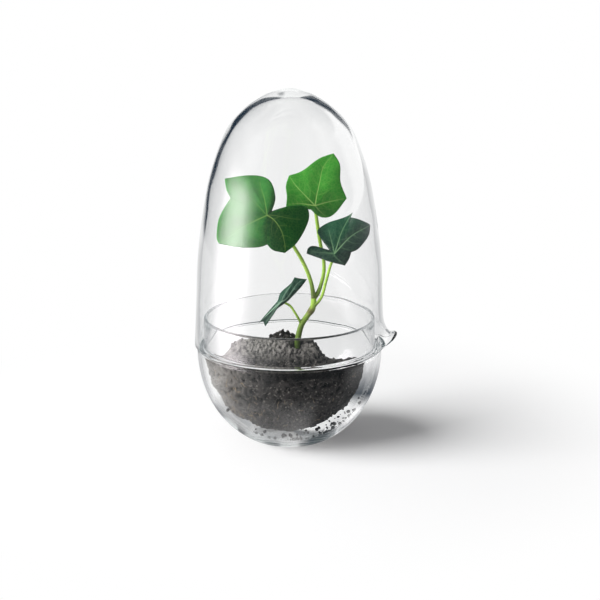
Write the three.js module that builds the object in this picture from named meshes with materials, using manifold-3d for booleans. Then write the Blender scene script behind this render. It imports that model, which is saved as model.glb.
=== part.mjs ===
// A small table-top greenhouse of clear blown glass: a bowl of potting soil with an ivy plant, under a dome.
// The dome stands on a ledge of the bowl, round the bowl's collar, and lifts off.
// A pouring lip is drawn in the dome's rim.
// Millimetres, +Z up. The origin is the centre of the bowl's foot, on the table. The lip points along +X.
import * as THREE from "three";
import { mergeVertices } from "three/addons/utils/BufferGeometryUtils.js";
import Module from "manifold-3d";

const wasm = await Module();
wasm.setup();

// Glass as a whole
const OVERALL_HEIGHT = 210;
const RIM_RADIUS = 56; // outside of the dome's rim
const LEDGE_HEIGHT = 57.2; // top of the bowl's ledge, where the dome stands
const SEAT_CLEARANCE = 0.3; // between the ledge and the dome's rim

// Dome
const DOME_WALL = 2.4;
const APEX_THICKNESS = 4;
const RIM_ROUNDING = 0.8; // how far the fire-polished edge bulges below the wall
const LIP_REACH = 6.5; // how far the lip's tip stands out past the rim
const LIP_RISE = 6; // how far the tip lies above the rim
const LIP_HEIGHT = 17; // height of the wall that is drawn out into the lip
const LIP_HALF_ANGLE = THREE.MathUtils.degToRad(22);

// Bowl
const RIM_OVERHANG = 1.4; // how far the dome's rim stands out past the bowl
const FOOT_RADIUS = 22.3;
const FOOT_ROUNDING = 1.5;
const BASE_THICKNESS = 4;
const BOWL_WALL = 2.7;
const FLOOR_RADIUS = 24; // of the flat floor inside the bowl
const BOWL_ROUNDNESS = 2.1; // exponent of the bowl's curve, where 2 is an ellipse
const LEDGE_ROUNDING = 1.2;
const COLLAR_GAP = 3.1; // between the collar and the inside of the dome
const COLLAR_WALL = 2.2;
const COLLAR_HEIGHT = 18; // above the ledge
const NECK_DROP = 2.2; // how far below the ledge the bowl starts to neck in
const NECK_RISE = 1; // how far above the ledge the neck ends

// Soil
const SOIL_CLEARANCE = 0.4; // between the soil and the bowl's base
const SOIL_STANDOFF = 3.9; // between the root ball and the bowl's wall, on average, where both are widest
const SOIL_SHIFT = -2; // how far the root ball lies to the right of the bowl's axis
const SOIL_DROP = 2; // how far below the ledge the root ball is widest
const SOIL_EDGE_DROP = 0.5; // how far the soil's front edge lies below that
const SOIL_SLUMP = 2.5; // height over which the soil's edge leans away from the glass
const BACK_FALL = 16; // how far the soil falls away towards the back
const FALL_START = -15; // depth, from the axis, at which the fall begins
const MOUND_RISE = 6.3;
const MOUND_CENTRE = new THREE.Vector2(-9, -2);
const MOUND_SPREAD = new THREE.Vector2(27, 18);
const MOUND_STEEPNESS_LEFT = 12; // exponents of the mound's flanks: the higher, the steeper
const MOUND_STEEPNESS_RIGHT = 16;
const MOUND_FADE = 8; // exponent of how the mound dies out towards the glass
const HEAP_RISE = 6; // small heap on the mound, under the crumbs
const HEAP_SPREAD = 8;
const HOLLOW_CENTRE = new THREE.Vector2(30, 2); // to the right of the mound
const HOLLOW_SPREAD = 12;
const HOLLOW_DEPTH = 5.5;
const STEM_HOLLOW_CENTRE = new THREE.Vector2(4, -8.5); // where the soil has sunk in front of the stem
const STEM_HOLLOW_SPREAD = 5;
const STEM_HOLLOW_DEPTH = 5;
const LUMP_SPACING = 17;
const LUMP_HEIGHT = 3.2; // of the soil's lumps, above the creases between them
const CRUMB_RADIUS = 2.7;
const CRUMB_SINK = 0.8; // how deep a crumb lies in the soil
const CRUMB_DENT = 0.24; // deepest dent, as a share of the crumb's radius
const CRUMB_DENT_RATE = 2; // how closely dents follow each other, in radians per millimetre
const CRUMB_GAP = 0.3; // between neighbouring crumbs, and round them in the soil
const CRUMB_CENTRE = new THREE.Vector2(-4.5, 1);
const CRUMBS_AROUND = 6; // round the middle one

// Plant
const STEM_FOOT = 2.1; // length of stem between the soil and the first point of its path
const PLANTING_DEPTH = 14; // length of stem below that point
const JOINT_GAP = 0.3; // where stem, stalks, leaves and soil meet
const STEM_BASE_RADIUS = 1.9;
const STEM_TOP_RADIUS = 1.6;
const LEAF_THICKNESS = 0.7;
const LEAF_CUP = 2; // how far a leaf's edge bends back behind its middle
const STALK_BEND = 4; // length over which a stalk turns to meet its leaf squarely
const LEAF_CLEARANCE = 6.3; // between the widest leaf tip and the inside of the dome's rim
const CROWN_SPACE = 37.6; // free height between the topmost leaf and the dome's inside

// Facet counts
const ROUND_STEPS = 48; // around the bowl
const CAVITY_STEPS = 11; // up the bowl, outside and inside
const SOIL_STEPS = 60; // around the soil
const SOIL_FLANK_STEPS = 14; // up the soil
const SOIL_TOP_STEPS = 10; // from the soil's edge to its middle
const COLLAR_EDGE_STEPS = 4; // over the collar's round edge
const NECK_STEPS = 3; // down the neck, inside
const LIP_STEPS = 12; // across the lip
const BACK_STEPS = 36; // round the rest of the dome
const LIP_RINGS = 6; // up the first span of the dome's outline
const LIP_RING_CROWDING = 1.5; // above 1, these rings crowd towards the rim
const DOME_RINGS = 14; // from there to the apex
const TUBE_SIDES = 8;
const TUBE_STEPS = 14;
const LEAF_RUN_STEPS = 6; // along each run of a leaf's outline
const LEAF_RINGS = 3; // from a leaf's middle to its edge

// The dome's outline: shares of the rim's radius and of the dome's height, from the rim to the apex
const DOME_OUTLINE = [
  [1, 0],
  [0.98, 0.17],
  [0.96, 0.34],
  [0.91, 0.5],
  [0.84, 0.645],
  [0.74, 0.765],
  [0.63, 0.855],
  [0.47, 0.92],
  [0.3, 0.964],
  [0.165, 0.988],
  [0, 1],
];

// The plant as it grew: x to the right, y to the back, z up from just above the soil
const STEM_PATH = [
  [4.8, -5, 0],
  [7.2, -5, 10.6],
  [10.7, -4.5, 16.1],
  [13.6, -4, 20.6],
  [14.4, -3, 26.8],
];

// Each leaf has a base point, a lean (depth gained per step across and per step up), and a hub, where its
// veins and its stalk meet. Its outline is smooth runs, each from one tip or notch to the next, in steps
// across and up from the base. Its stalk leaves the stem at a point of the stem's path.
const LEAVES = {
  left: {
    base: [-12.3, -9, 79.3],
    lean: [0.05, 0.55],
    hub: [-0.5, -1.5],
    outline: [
      [[2.3, 0.2], [4.3, 8.1], [0.2, 17.2], [-11.7, 19.5], [-25.4, 17.8]],
      [[-25.4, 17.8], [-24.1, 11.9], [-21.6, 7.7]],
      [[-21.6, 7.7], [-27.8, -2.4], [-29, -12.6], [-27.7, -16.6]],
      [[-27.7, -16.6], [-16.8, -18.3], [-5.6, -18.6], [-0.3, -17.4]],
      [[-0.3, -17.4], [3, -20.6], [9.6, -22.8]],
      [[9.6, -22.8], [16.9, -17.4], [23.5, -6.6], [22.2, 1.2], [13, 2.4], [2.3, 0.2]],
    ],
    stalkRadius: 1.15,
    stalkFrom: 4,
    stalkPath: [[12.6, -3, 36.6], [8.6, -3, 47], [3.3, -3.5, 56.2], [-5.4, -4, 69.3]],
  },
  top: {
    base: [14.7, 7, 79.3],
    lean: [0, 0.35],
    hub: [0.5, 0.5],
    outline: [
      [[-1.9, -2.2], [2.4, -5.9], [7.1, -7.1], [11.8, -4.4], [19, 4.1]],
      [[19, 4.1], [15.6, 13.4], [15.4, 23.1], [11.8, 29.2]],
      [[11.8, 29.2], [2.4, 26.1], [-7.8, 19.3], [-14.9, 16.7]],
      [[-14.9, 16.7], [-16.6, 11.2], [-16, 5.2], [-16.5, -0.7]],
      [[-16.5, -0.7], [-8.6, -1.5], [-1.9, -2.2]],
    ],
    stalkRadius: 1.15,
    stalkFrom: 4,
    stalkPath: [[16.7, -2, 29.4], [19.8, 0, 39.3], [20.1, 3, 46.9], [18.1, 7, 58.4], [16.4, 10.5, 69.8]],
  },
  right: {
    base: [25.1, -9, 58.2],
    lean: [-0.1, 0.9],
    hub: [1, -2.5],
    outline: [
      [[-1.9, -1.4], [-10.5, 0.1], [-14, -1.3], [-15, -4.2]],
      [[-15, -4.2], [-5.1, -6.6], [6.9, -9.2]],
      [[6.9, -9.2], [9.3, -5.7], [10.5, -2.4]],
      [[10.5, -2.4], [15.1, -0.3], [20.6, 5.8], [22.2, 11.3]],
      [[22.2, 11.3], [16.1, 13.9], [11, 14.8]],
      [[11, 14.8], [12.5, 17.4]],
      [[12.5, 17.4], [8.4, 15.3], [-1.8, 12.4], [-8.3, 8.4], [-7.3, 5.1], [-1.9, -1.4]],
    ],
    stalkRadius: 0.9,
    stalkFrom: 3,
    stalkPath: [[18.7, -5, 27.4], [21.4, -6, 37.4], [24, -6, 47.2]],
  },
  low: {
    base: [-1.7, -10, 25.8],
    lean: [-0.1, 0.35],
    hub: [-3, 0.5],
    outline: [
      [[0.5, 0], [2.5, 1.9], [8.7, 8], [12.1, 12.2]],
      [[12.1, 12.2], [7.8, 12.6], [4.6, 13.2]],
      [[4.6, 13.2], [2.4, 9.8], [-3.4, 4.9], [-5.3, 0.3], [-8.7, -3.9], [-16.3, -12.8]],
      [[-16.3, -12.8], [-13.6, -11.4]],
      [[-13.6, -11.4], [-12.3, -14.7]],
      [[-12.3, -14.7], [-8.2, -8.5], [-5.4, -4.4], [0.5, 0]],
    ],
    stalkRadius: 0.75,
    stalkFrom: 1,
    stalkPath: [[3.3, -7, 18.3], [0.2, -6.5, 22.8]],
  },
};

// Radii and heights that follow
const domeInnerRadius = RIM_RADIUS - DOME_WALL;
const domeFoot = LEDGE_HEIGHT + SEAT_CLEARANCE + RIM_ROUNDING;
const bowlRadius = RIM_RADIUS - RIM_OVERHANG;
const collarRadius = domeInnerRadius - COLLAR_GAP;
const collarTop = LEDGE_HEIGHT + COLLAR_HEIGHT;
const cavityRadius = bowlRadius - BOWL_WALL;
const cavityTop = LEDGE_HEIGHT - NECK_DROP;
const soilRadius = cavityRadius - SOIL_STANDOFF;
const soilBottom = BASE_THICKNESS + SOIL_CLEARANCE;
const soilWidest = LEDGE_HEIGHT - SOIL_DROP;
const soilEdgeHeight = soilWidest - SOIL_EDGE_DROP;

const { lerp } = THREE.MathUtils;
const ease = (share) => THREE.MathUtils.smoothstep(share, 0, 1);
const flat = (radius, height) => new THREE.Vector2(radius, height);
const turned = (radius, angle, z) => new THREE.Vector3(radius * Math.cos(angle), radius * Math.sin(angle), z);
const count = (length, make) => Array.from({ length }, (_, i) => make(i));
const roundAngles = (steps) => count(steps, (i) => (2 * Math.PI * i) / steps);
const bump = (place, centre, size) => Math.exp(-((place.distanceTo(centre) / size) ** 2));

// A closed skin over rings of points that all run the same way round, shut by a point at each end
function skin(firstEnd, rings, lastEnd) {
  const sides = rings[0].length;
  const points = [firstEnd, ...rings.flat(), lastEnd];
  const last = points.length - 1;
  const faces = [];
  for (let i = 0; i < sides; i += 1) {
    const j = (i + 1) % sides;
    faces.push(0, 1 + j, 1 + i);
    for (let ring = 0; ring + 1 < rings.length; ring += 1) {
      const low = 1 + ring * sides;
      const high = low + sides;
      faces.push(low + i, low + j, high + j, low + i, high + j, high + i);
    }
    faces.push(last, last - sides + i, last - sides + j);
  }
  return new THREE.BufferGeometry().setFromPoints(points).setIndex(faces);
}

// A closed geometry as a solid that can be cut, and a geometry with solids cut out of it
function solid(geometry) {
  const bare = new THREE.BufferGeometry();
  bare.setAttribute("position", geometry.getAttribute("position"));
  bare.setIndex(geometry.index);
  const merged = mergeVertices(bare);
  const vertProperties = merged.attributes.position.array;
  const triVerts = new Uint32Array(merged.index.array);
  return new wasm.Manifold(new wasm.Mesh({ numProp: 3, vertProperties, triVerts }));
}

function cut(geometry, tools) {
  const left = tools.reduce((rest, tool) => rest.subtract(solid(tool)), solid(geometry));
  const { vertProperties, triVerts } = left.getMesh();
  const result = new THREE.BufferGeometry();
  result.setAttribute("position", new THREE.BufferAttribute(vertProperties, 3));
  return result.setIndex(new THREE.BufferAttribute(triVerts, 1));
}

// A quarter of a superellipse, from its widest place at share 0 to its lowest at share 1
function bowlCurve(radius, top, depth, share) {
  const angle = (share * Math.PI) / 2;
  const power = 2 / BOWL_ROUNDNESS;
  return flat(radius * Math.cos(angle) ** power, top - depth * Math.sin(angle) ** power);
}

// The same curve from its widest place at share 0 to a flat foot at share 1
function footedCurve(radius, top, footRadius, footHeight, share) {
  const footAngle = Math.acos((footRadius / radius) ** (BOWL_ROUNDNESS / 2));
  const depth = (top - footHeight) / Math.sin(footAngle) ** (2 / BOWL_ROUNDNESS);
  return bowlCurve(radius, top, depth, (share * footAngle) / (Math.PI / 2));
}

// Bowl, revolved: foot, outside, ledge, collar, neck, inside
function bowlGeometry() {
  const outside = count(CAVITY_STEPS, (i) =>
    footedCurve(bowlRadius, LEDGE_HEIGHT, FOOT_RADIUS, 0, 1 - i / CAVITY_STEPS),
  );
  outside[0].y = FOOT_ROUNDING / 2;
  const foot = flat(FOOT_RADIUS - FOOT_ROUNDING, 0);
  const cornerInset = LEDGE_ROUNDING * (1 - Math.SQRT1_2);
  const ledge = [
    flat(bowlRadius, LEDGE_HEIGHT - LEDGE_ROUNDING),
    flat(bowlRadius - cornerInset, LEDGE_HEIGHT - cornerInset),
    flat(bowlRadius - LEDGE_ROUNDING, LEDGE_HEIGHT),
    flat(collarRadius + LEDGE_ROUNDING, LEDGE_HEIGHT),
    flat(collarRadius, LEDGE_HEIGHT + LEDGE_ROUNDING),
  ];
  const halfWall = COLLAR_WALL / 2;
  const collarEdge = count(COLLAR_EDGE_STEPS + 1, (i) => {
    const angle = (i / COLLAR_EDGE_STEPS) * Math.PI;
    const radius = collarRadius - halfWall + halfWall * Math.cos(angle);
    return flat(radius, collarTop - halfWall + halfWall * Math.sin(angle));
  });
  const neck = count(NECK_STEPS, (i) => {
    const share = 1 - i / NECK_STEPS;
    const radius = lerp(cavityRadius, collarRadius - COLLAR_WALL, ease(share));
    return flat(radius, lerp(cavityTop, LEDGE_HEIGHT + NECK_RISE, share));
  });
  const inside = count(CAVITY_STEPS + 1, (i) =>
    footedCurve(cavityRadius, cavityTop, FLOOR_RADIUS, BASE_THICKNESS, i / CAVITY_STEPS),
  );
  const profile = [foot, ...outside, ...ledge, ...collarEdge, ...neck, ...inside];
  const angles = roundAngles(ROUND_STEPS);
  const rings = profile.map((point) => angles.map((angle) => turned(point.x, angle, point.y)));
  return skin(turned(0, 0, 0), rings, turned(0, 0, BASE_THICKNESS));
}

// The dome's outline runs on past the apex to its mirror image, so that the apex is level
const pastApex = [-DOME_OUTLINE.at(-2)[0], DOME_OUTLINE.at(-2)[1]];
const domeCurve = new THREE.SplineCurve([...DOME_OUTLINE, pastApex].map(([x, y]) => flat(x, y)));
const apexShare = (DOME_OUTLINE.length - 1) / DOME_OUTLINE.length;

// The dome's outside by angle and by share of its outline, with the lip drawn out of the wall
function domeOutside(angle, share) {
  const outline = domeCurve.getPoint(share * apexShare);
  const rise = (OVERALL_HEIGHT - domeFoot) * outline.y;
  const inLip = Math.min(1, Math.abs(angle) / LIP_HALF_ANGLE);
  const across = Math.cos((inLip * Math.PI) / 2) ** 2;
  const drawn = Math.max(0, 1 - rise / LIP_HEIGHT);
  const reach = LIP_REACH * across * drawn ** 2;
  const lift = LIP_RISE * across * drawn ** 4;
  return turned(RIM_RADIUS * outline.x + reach, angle, domeFoot + rise + lift);
}

// The dome's inside lies a wall's thickness in from the outside, square to it
function domeInside(angle, share) {
  const step = 1e-3;
  const from = Math.max(0, share - step);
  const upward = domeOutside(angle, share + step).sub(domeOutside(angle, from));
  const around = domeOutside(angle + step, share).sub(domeOutside(angle - step, share));
  const outward = around.cross(upward).normalize();
  return domeOutside(angle, share).addScaledVector(outward, -lerp(DOME_WALL, APEX_THICKNESS, ease(share)));
}

function domeGeometry() {
  const behind = Math.PI - LIP_HALF_ANGLE;
  const angles = [
    ...count(LIP_STEPS, (i) => LIP_HALF_ANGLE * ((2 * i) / LIP_STEPS - 1)),
    ...count(BACK_STEPS, (i) => Math.PI - behind * (1 - (2 * i) / BACK_STEPS)),
  ].map((angle) => (angle > Math.PI ? angle - 2 * Math.PI : angle));
  const firstSpan = 1 / (DOME_OUTLINE.length - 1);
  const shares = [
    ...count(LIP_RINGS, (i) => firstSpan * (i / LIP_RINGS) ** LIP_RING_CROWDING),
    ...count(DOME_RINGS, (i) => lerp(firstSpan, 1, i / DOME_RINGS)),
  ];
  const outside = shares.map((share) => angles.map((angle) => domeOutside(angle, share)));
  const inside = shares.map((share) => angles.map((angle) => domeInside(angle, share)));
  const edge = angles.map((_, i) => {
    const downward = outside[0][i].clone().sub(outside[1][i]).normalize();
    return outside[0][i].clone().lerp(inside[0][i], 0.5).addScaledVector(downward, RIM_ROUNDING);
  });
  const insideApex = turned(0, 0, OVERALL_HEIGHT - APEX_THICKNESS);
  return skin(insideApex, [...inside.reverse(), edge, ...outside], turned(0, 0, OVERALL_HEIGHT));
}

// Soil as it settled: level at the front, falling away at the back, with a steep-sided mound that dies out at
// the glass, a heap on it, and hollows beside it and in front of the stem
function settledTop(x, y) {
  const place = flat(x, y);
  const across = (x - MOUND_CENTRE.x) / MOUND_SPREAD.x;
  const along = (y - MOUND_CENTRE.y) / MOUND_SPREAD.y;
  const steepness = across < 0 ? MOUND_STEEPNESS_LEFT : MOUND_STEEPNESS_RIGHT;
  const inward = Math.max(0, 1 - (Math.hypot(x - SOIL_SHIFT, y) / soilRadius) ** MOUND_FADE);
  const mound = MOUND_RISE * inward * Math.exp(-(Math.abs(across) ** steepness) - along ** 4);
  const heap = HEAP_RISE * bump(place, CRUMB_CENTRE, HEAP_SPREAD);
  const hollow = HOLLOW_DEPTH * bump(place, HOLLOW_CENTRE, HOLLOW_SPREAD);
  const stemHollow = STEM_HOLLOW_DEPTH * bump(place, STEM_HOLLOW_CENTRE, STEM_HOLLOW_SPREAD);
  const fall = BACK_FALL * THREE.MathUtils.smoothstep(y, FALL_START, soilRadius);
  return soilEdgeHeight + mound + heap - hollow - stemHollow - fall;
}

// How deep a place lies between the soil's lumps
function creaseDepth(x, y, z) {
  const [a, b, c] = [x, y, z].map((value) => (2 * Math.PI * value) / LUMP_SPACING);
  const wave = Math.sin(a + Math.sin(b)) + Math.sin(b + Math.sin(c)) + Math.sin(c + Math.sin(a));
  return (LUMP_HEIGHT * (3 - wave)) / 6;
}

function soilTop(x, y) {
  const height = settledTop(x, y);
  return height - creaseDepth(x, y, height);
}

function soilGeometry() {
  const depth = soilWidest - soilBottom;
  const heart = new THREE.Vector3(SOIL_SHIFT, 0, soilWidest);
  const offAxis = (radius, angle, z) => turned(radius, angle, z).setX(SOIL_SHIFT + radius * Math.cos(angle));
  const edges = roundAngles(SOIL_STEPS).map((angle) => {
    const rim = offAxis(soilRadius, angle, 0);
    const height = settledTop(rim.x, rim.y) - SOIL_SLUMP;
    const share = Math.asin(((soilWidest - height) / depth) ** (BOWL_ROUNDNESS / 2)) / (Math.PI / 2);
    return { angle, share, radius: bowlCurve(soilRadius, soilWidest, depth, share).x };
  });
  const flank = count(SOIL_FLANK_STEPS, (i) =>
    edges.map(({ angle, share }) => {
      const outline = bowlCurve(soilRadius, soilWidest, depth, lerp(1, share, (i + 1) / SOIL_FLANK_STEPS));
      const point = offAxis(outline.x, angle, outline.y);
      const inward = heart.clone().sub(point).normalize();
      return point.addScaledVector(inward, creaseDepth(...point.toArray()));
    }),
  );
  const top = count(SOIL_TOP_STEPS, (i) =>
    edges.map(({ angle, radius }) => {
      const point = offAxis(radius * (1 - (i + 1) / (SOIL_TOP_STEPS + 1)), angle, 0);
      return point.setZ(soilTop(point.x, point.y));
    }),
  );
  const middle = new THREE.Vector3(SOIL_SHIFT, 0, soilTop(SOIL_SHIFT, 0));
  return skin(new THREE.Vector3(SOIL_SHIFT, 0, soilBottom), [...flank, ...top], middle);
}

// A crumb is a lump that never reaches past its radius
function crumbGeometry(radius, seed) {
  const geometry = new THREE.IcosahedronGeometry(radius, 1);
  const position = geometry.getAttribute("position");
  const point = new THREE.Vector3();
  for (let i = 0; i < position.count; i += 1) {
    point.fromBufferAttribute(position, i);
    const { x, y, z } = point.clone().multiplyScalar(CRUMB_DENT_RATE);
    const wave = Math.sin(x + seed) * Math.sin(y - seed) * Math.sin(z + 2 * seed);
    point.multiplyScalar(1 - (CRUMB_DENT * (1 - wave)) / 2);
    position.setXYZ(i, point.x, point.y, point.z);
  }
  return geometry;
}

// The plant fills its glass: it spreads to the dome's wall and grows to the crown
const reachOf = ({ base, lean, outline }) =>
  Math.max(
    ...outline.flat().map(([x, z]) => Math.hypot(base[0] + x, base[1] + lean[0] * x + lean[1] * z)),
  );
const riseOf = ({ base, outline }) => base[2] + Math.max(...outline.flat().map(([, z]) => z));
const spread = (domeInnerRadius - LEAF_CLEARANCE) / Math.max(...Object.values(LEAVES).map(reachOf));
const plantBase = settledTop(spread * STEM_PATH[0][0], spread * STEM_PATH[0][1]) + STEM_FOOT;
const plantTop = OVERALL_HEIGHT - APEX_THICKNESS - CROWN_SPACE;
const growth = (plantTop - plantBase) / Math.max(...Object.values(LEAVES).map(riseOf));
const grown = ([x, y, z]) => new THREE.Vector3(spread * x, spread * y, plantBase + growth * z);

// A round tube along a smooth path, from one radius to another, made thicker and longer all over by a margin
function tube(path, startRadius, endRadius, margin) {
  const points = path.map((point) => point.clone());
  points[0].addScaledVector(path[1].clone().sub(path[0]).normalize(), -margin);
  points.at(-1).addScaledVector(path.at(-2).clone().sub(path.at(-1)).normalize(), -margin);
  const curve = new THREE.CatmullRomCurve3(points, false, "centripetal");
  const { normals, binormals } = curve.computeFrenetFrames(TUBE_STEPS, false);
  const rings = count(TUBE_STEPS + 1, (i) => {
    const radius = lerp(startRadius, endRadius, i / TUBE_STEPS) + margin;
    const centre = curve.getPointAt(i / TUBE_STEPS);
    return count(TUBE_SIDES, (side) => {
      const angle = (2 * Math.PI * side) / TUBE_SIDES;
      const point = centre.clone().addScaledVector(normals[i], radius * Math.cos(angle));
      return point.addScaledVector(binormals[i], radius * Math.sin(angle));
    });
  });
  return skin(curve.getPointAt(0), rings, curve.getPointAt(1));
}

// A point of a leaf, by its steps from the base, its share of the way from hub to edge, and its side of the
// blade: 1 behind, -1 in front
function leafPoint({ base, lean }, across, up, edgeShare, side) {
  const depth = base[1] + lean[0] * across + lean[1] * up;
  const point = grown([base[0] + across, depth, base[2] + up]);
  point.y += LEAF_CUP * edgeShare ** 2 + (side * LEAF_THICKNESS) / 2;
  return point;
}

function leafGeometry(leaf) {
  const outline = leaf.outline.flatMap((run) => {
    const curve = new THREE.SplineCurve(run.map(([across, up]) => flat(across, up)));
    return curve.getPoints(LEAF_RUN_STEPS).slice(0, -1);
  });
  const hub = flat(...leaf.hub);
  const ring = (edgeShare, side) =>
    outline.map((edge) => {
      const point = hub.clone().lerp(edge, edgeShare);
      return leafPoint(leaf, point.x, point.y, edgeShare, side);
    });
  const shares = count(LEAF_RINGS, (i) => (i + 1) / LEAF_RINGS);
  const back = shares.map((share) => ring(share, 1));
  const front = shares.map((share) => ring(share, -1)).reverse();
  return skin(leafPoint(leaf, hub.x, hub.y, 0, 1), [...back, ...front], leafPoint(leaf, hub.x, hub.y, 0, -1));
}

// A stalk runs from the stem's middle to the back of its leaf's hub, which it meets squarely
function stalkPoints(leaf) {
  const facing = new THREE.Vector3(-leaf.lean[0], 1, (-leaf.lean[1] * spread) / growth);
  const behind = leafPoint(leaf, ...leaf.hub, 0, 1).addScaledVector(facing, JOINT_GAP);
  const bend = behind.clone().addScaledVector(facing.normalize(), STALK_BEND);
  return [grown(STEM_PATH[leaf.stalkFrom]), ...leaf.stalkPath.map(grown), bend, behind];
}

// Materials
const finish = (color, roughness, more) =>
  new THREE.MeshStandardMaterial({ color, roughness, metalness: 0, ...more });
const clearGlass = finish(0xe6f0ef, 0.05, { transparent: true, opacity: 0.3 });
const soilFinish = finish(0x3b3735, 0.95);
const stemFinish = finish(0x86a63f, 0.5);
const leafFinishes = {
  left: finish(0x2f8c34, 0.4),
  top: finish(0x3a9636, 0.4),
  right: finish(0x1f4f36, 0.4),
  low: finish(0x24523c, 0.45),
};

const greenhouse = new THREE.Group();
function add(name, geometry, material) {
  const mesh = new THREE.Mesh(geometry, material);
  mesh.name = name;
  greenhouse.add(mesh);
}

const stemPoints = [[STEM_PATH[0][0], STEM_PATH[0][1], -PLANTING_DEPTH / growth], ...STEM_PATH].map(grown);
const stem = tube(stemPoints, STEM_BASE_RADIUS, STEM_TOP_RADIUS, 0);
const stemRoom = tube(stemPoints, STEM_BASE_RADIUS, STEM_TOP_RADIUS, JOINT_GAP);

add("glass_bowl", bowlGeometry(), clearGlass);
add("glass_dome", domeGeometry(), clearGlass);
add("main_stem", stem, stemFinish);

const stalkRooms = [stemRoom];
for (const [name, leaf] of Object.entries(LEAVES)) {
  const points = stalkPoints(leaf);
  const stalk = tube(points, leaf.stalkRadius, leaf.stalkRadius, 0);
  add(`leaf_stalk_${name}`, cut(stalk, stalkRooms), stemFinish);
  stalkRooms.push(tube(points.slice(0, -1), leaf.stalkRadius, leaf.stalkRadius, JOINT_GAP));
  add(`leaf_${name}`, leafGeometry(leaf), leafFinishes[name]);
}

// Crumbs lie on the heap beside the stem, each in its dent: one in the middle and the rest in a ring round it
const crumbSpacing = 2 * CRUMB_RADIUS + CRUMB_GAP;
const crumbRing = crumbSpacing / (2 * Math.sin(Math.PI / CRUMBS_AROUND));
const soilRooms = [stemRoom];
for (let i = 0; i <= CRUMBS_AROUND; i += 1) {
  const place = turned(i === 0 ? 0 : crumbRing, (2 * Math.PI * i) / CRUMBS_AROUND, 0);
  const x = CRUMB_CENTRE.x + place.x;
  const y = CRUMB_CENTRE.y + place.y;
  const z = soilTop(x, y) + CRUMB_RADIUS - CRUMB_SINK;
  const crumb = crumbGeometry(CRUMB_RADIUS, i + 1);
  const roomScale = 1 + CRUMB_GAP / CRUMB_RADIUS;
  soilRooms.push(crumb.clone().scale(roomScale, roomScale, roomScale).translate(x, y, z));
  add(`soil_crumb_${i + 1}`, crumb.translate(x, y, z), soilFinish);
}
add("potting_soil", cut(soilGeometry(), soilRooms), soilFinish);

export default greenhouse;
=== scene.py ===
# A small table greenhouse: a blown-glass bowl of potting soil with an ivy plant, under a lift-off glass dome.
# Sizes are millimetres, turned to metres where a mesh is made. +Z is up, +X points to the dome's pouring lip,
# and the origin is the centre of the bowl's foot.
import math

import bpy
import numpy as np
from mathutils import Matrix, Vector, noise


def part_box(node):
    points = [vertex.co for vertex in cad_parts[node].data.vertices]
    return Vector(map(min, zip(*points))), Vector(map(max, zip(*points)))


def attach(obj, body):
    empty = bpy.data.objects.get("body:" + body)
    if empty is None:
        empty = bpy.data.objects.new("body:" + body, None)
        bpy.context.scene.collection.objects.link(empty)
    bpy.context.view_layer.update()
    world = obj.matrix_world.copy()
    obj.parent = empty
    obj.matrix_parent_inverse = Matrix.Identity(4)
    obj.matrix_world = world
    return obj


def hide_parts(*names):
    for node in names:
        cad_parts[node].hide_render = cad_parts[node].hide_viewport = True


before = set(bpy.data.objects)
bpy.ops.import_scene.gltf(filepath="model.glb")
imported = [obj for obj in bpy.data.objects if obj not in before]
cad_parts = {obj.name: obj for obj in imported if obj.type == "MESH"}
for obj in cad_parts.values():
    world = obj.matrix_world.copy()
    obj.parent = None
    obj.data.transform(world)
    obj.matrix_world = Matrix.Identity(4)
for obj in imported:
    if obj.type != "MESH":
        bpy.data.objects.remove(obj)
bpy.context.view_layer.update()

MM = 0.001

# Glass, as in the solids
OVERALL_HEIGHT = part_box("glass_dome")[1].z / MM
RIM_RADIUS = 56
LEDGE_HEIGHT = 57.2
SEAT_CLEARANCE = 0.3
DOME_WALL = 2.4
APEX_THICKNESS = 4
RIM_ROUNDING = 0.8
LIP_REACH = 6.5
LIP_RISE = 6
LIP_HEIGHT = 17
LIP_HALF_ANGLE = math.radians(22)
RIM_OVERHANG = 1.4
FOOT_RADIUS = 22.3
FOOT_ROUNDING = 1.5
BASE_THICKNESS = 4
BOWL_WALL = 2.7
BOWL_ROUNDNESS = 2.1
FLOOR_RADIUS = 24
LEDGE_ROUNDING = 1.2
COLLAR_GAP = 3.1
COLLAR_WALL = 2.2
COLLAR_HEIGHT = 18
NECK_DROP = 2.2
NECK_RISE = 1

# The dome's outline: shares of the rim's radius and of the dome's height, from the rim to the apex
DOME_OUTLINE = [
    (1, 0), (0.98, 0.17), (0.96, 0.34), (0.91, 0.5), (0.84, 0.645), (0.74, 0.765),
    (0.63, 0.855), (0.47, 0.92), (0.3, 0.964), (0.165, 0.988), (0, 1),
]

# Finer shapes of the glass, as blowing leaves them
GLASS_WAVE = 0.12  # height of the waves on the dome's inside
GLASS_WAVE_LENGTH = 17
APEX_WAVE = 0.55
APEX_WAVE_SHARES = (0.6, 0.95)  # of the outline, between which the waves grow to the apex's height
CALM_SHARE = 0.15  # of the outline, over which the waves set in above the rim
LIP_THINNING = 0.9  # where the lip is drawn out furthest
FLOOR_ROUNDING = 3
FLOOR_BEND = (0.5, 0.15)  # in from the floor's edge and up, where its rounding bends most
FOOT_BEND = (0.2, 0.375)  # the same at the foot's edge

# How finely the glass is drawn
GLASS_SIDES = 256
DOME_ROWS = 110
DOME_ROW_CROWDING = 1.15  # over 1 draws the rows closer together at the rim
DOME_LAST_SHARE = 0.997
PROFILE_STEPS = 70
OUTSIDE_SHARES = (0.985, 0.02)  # of the bowl's outside curve, between the foot's and the ledge's roundings
INSIDE_SHARES = (0.02, 0.97)  # of its inside curve, between the neck and the floor's rounding
FLAT_SHARES = (0.05, 0.5)  # of the foot's and the floor's radius, where rings lie on them
ROUNDING_STEPS = 9
CORNER_STEPS = 8
NECK_STEPS = 14

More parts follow.
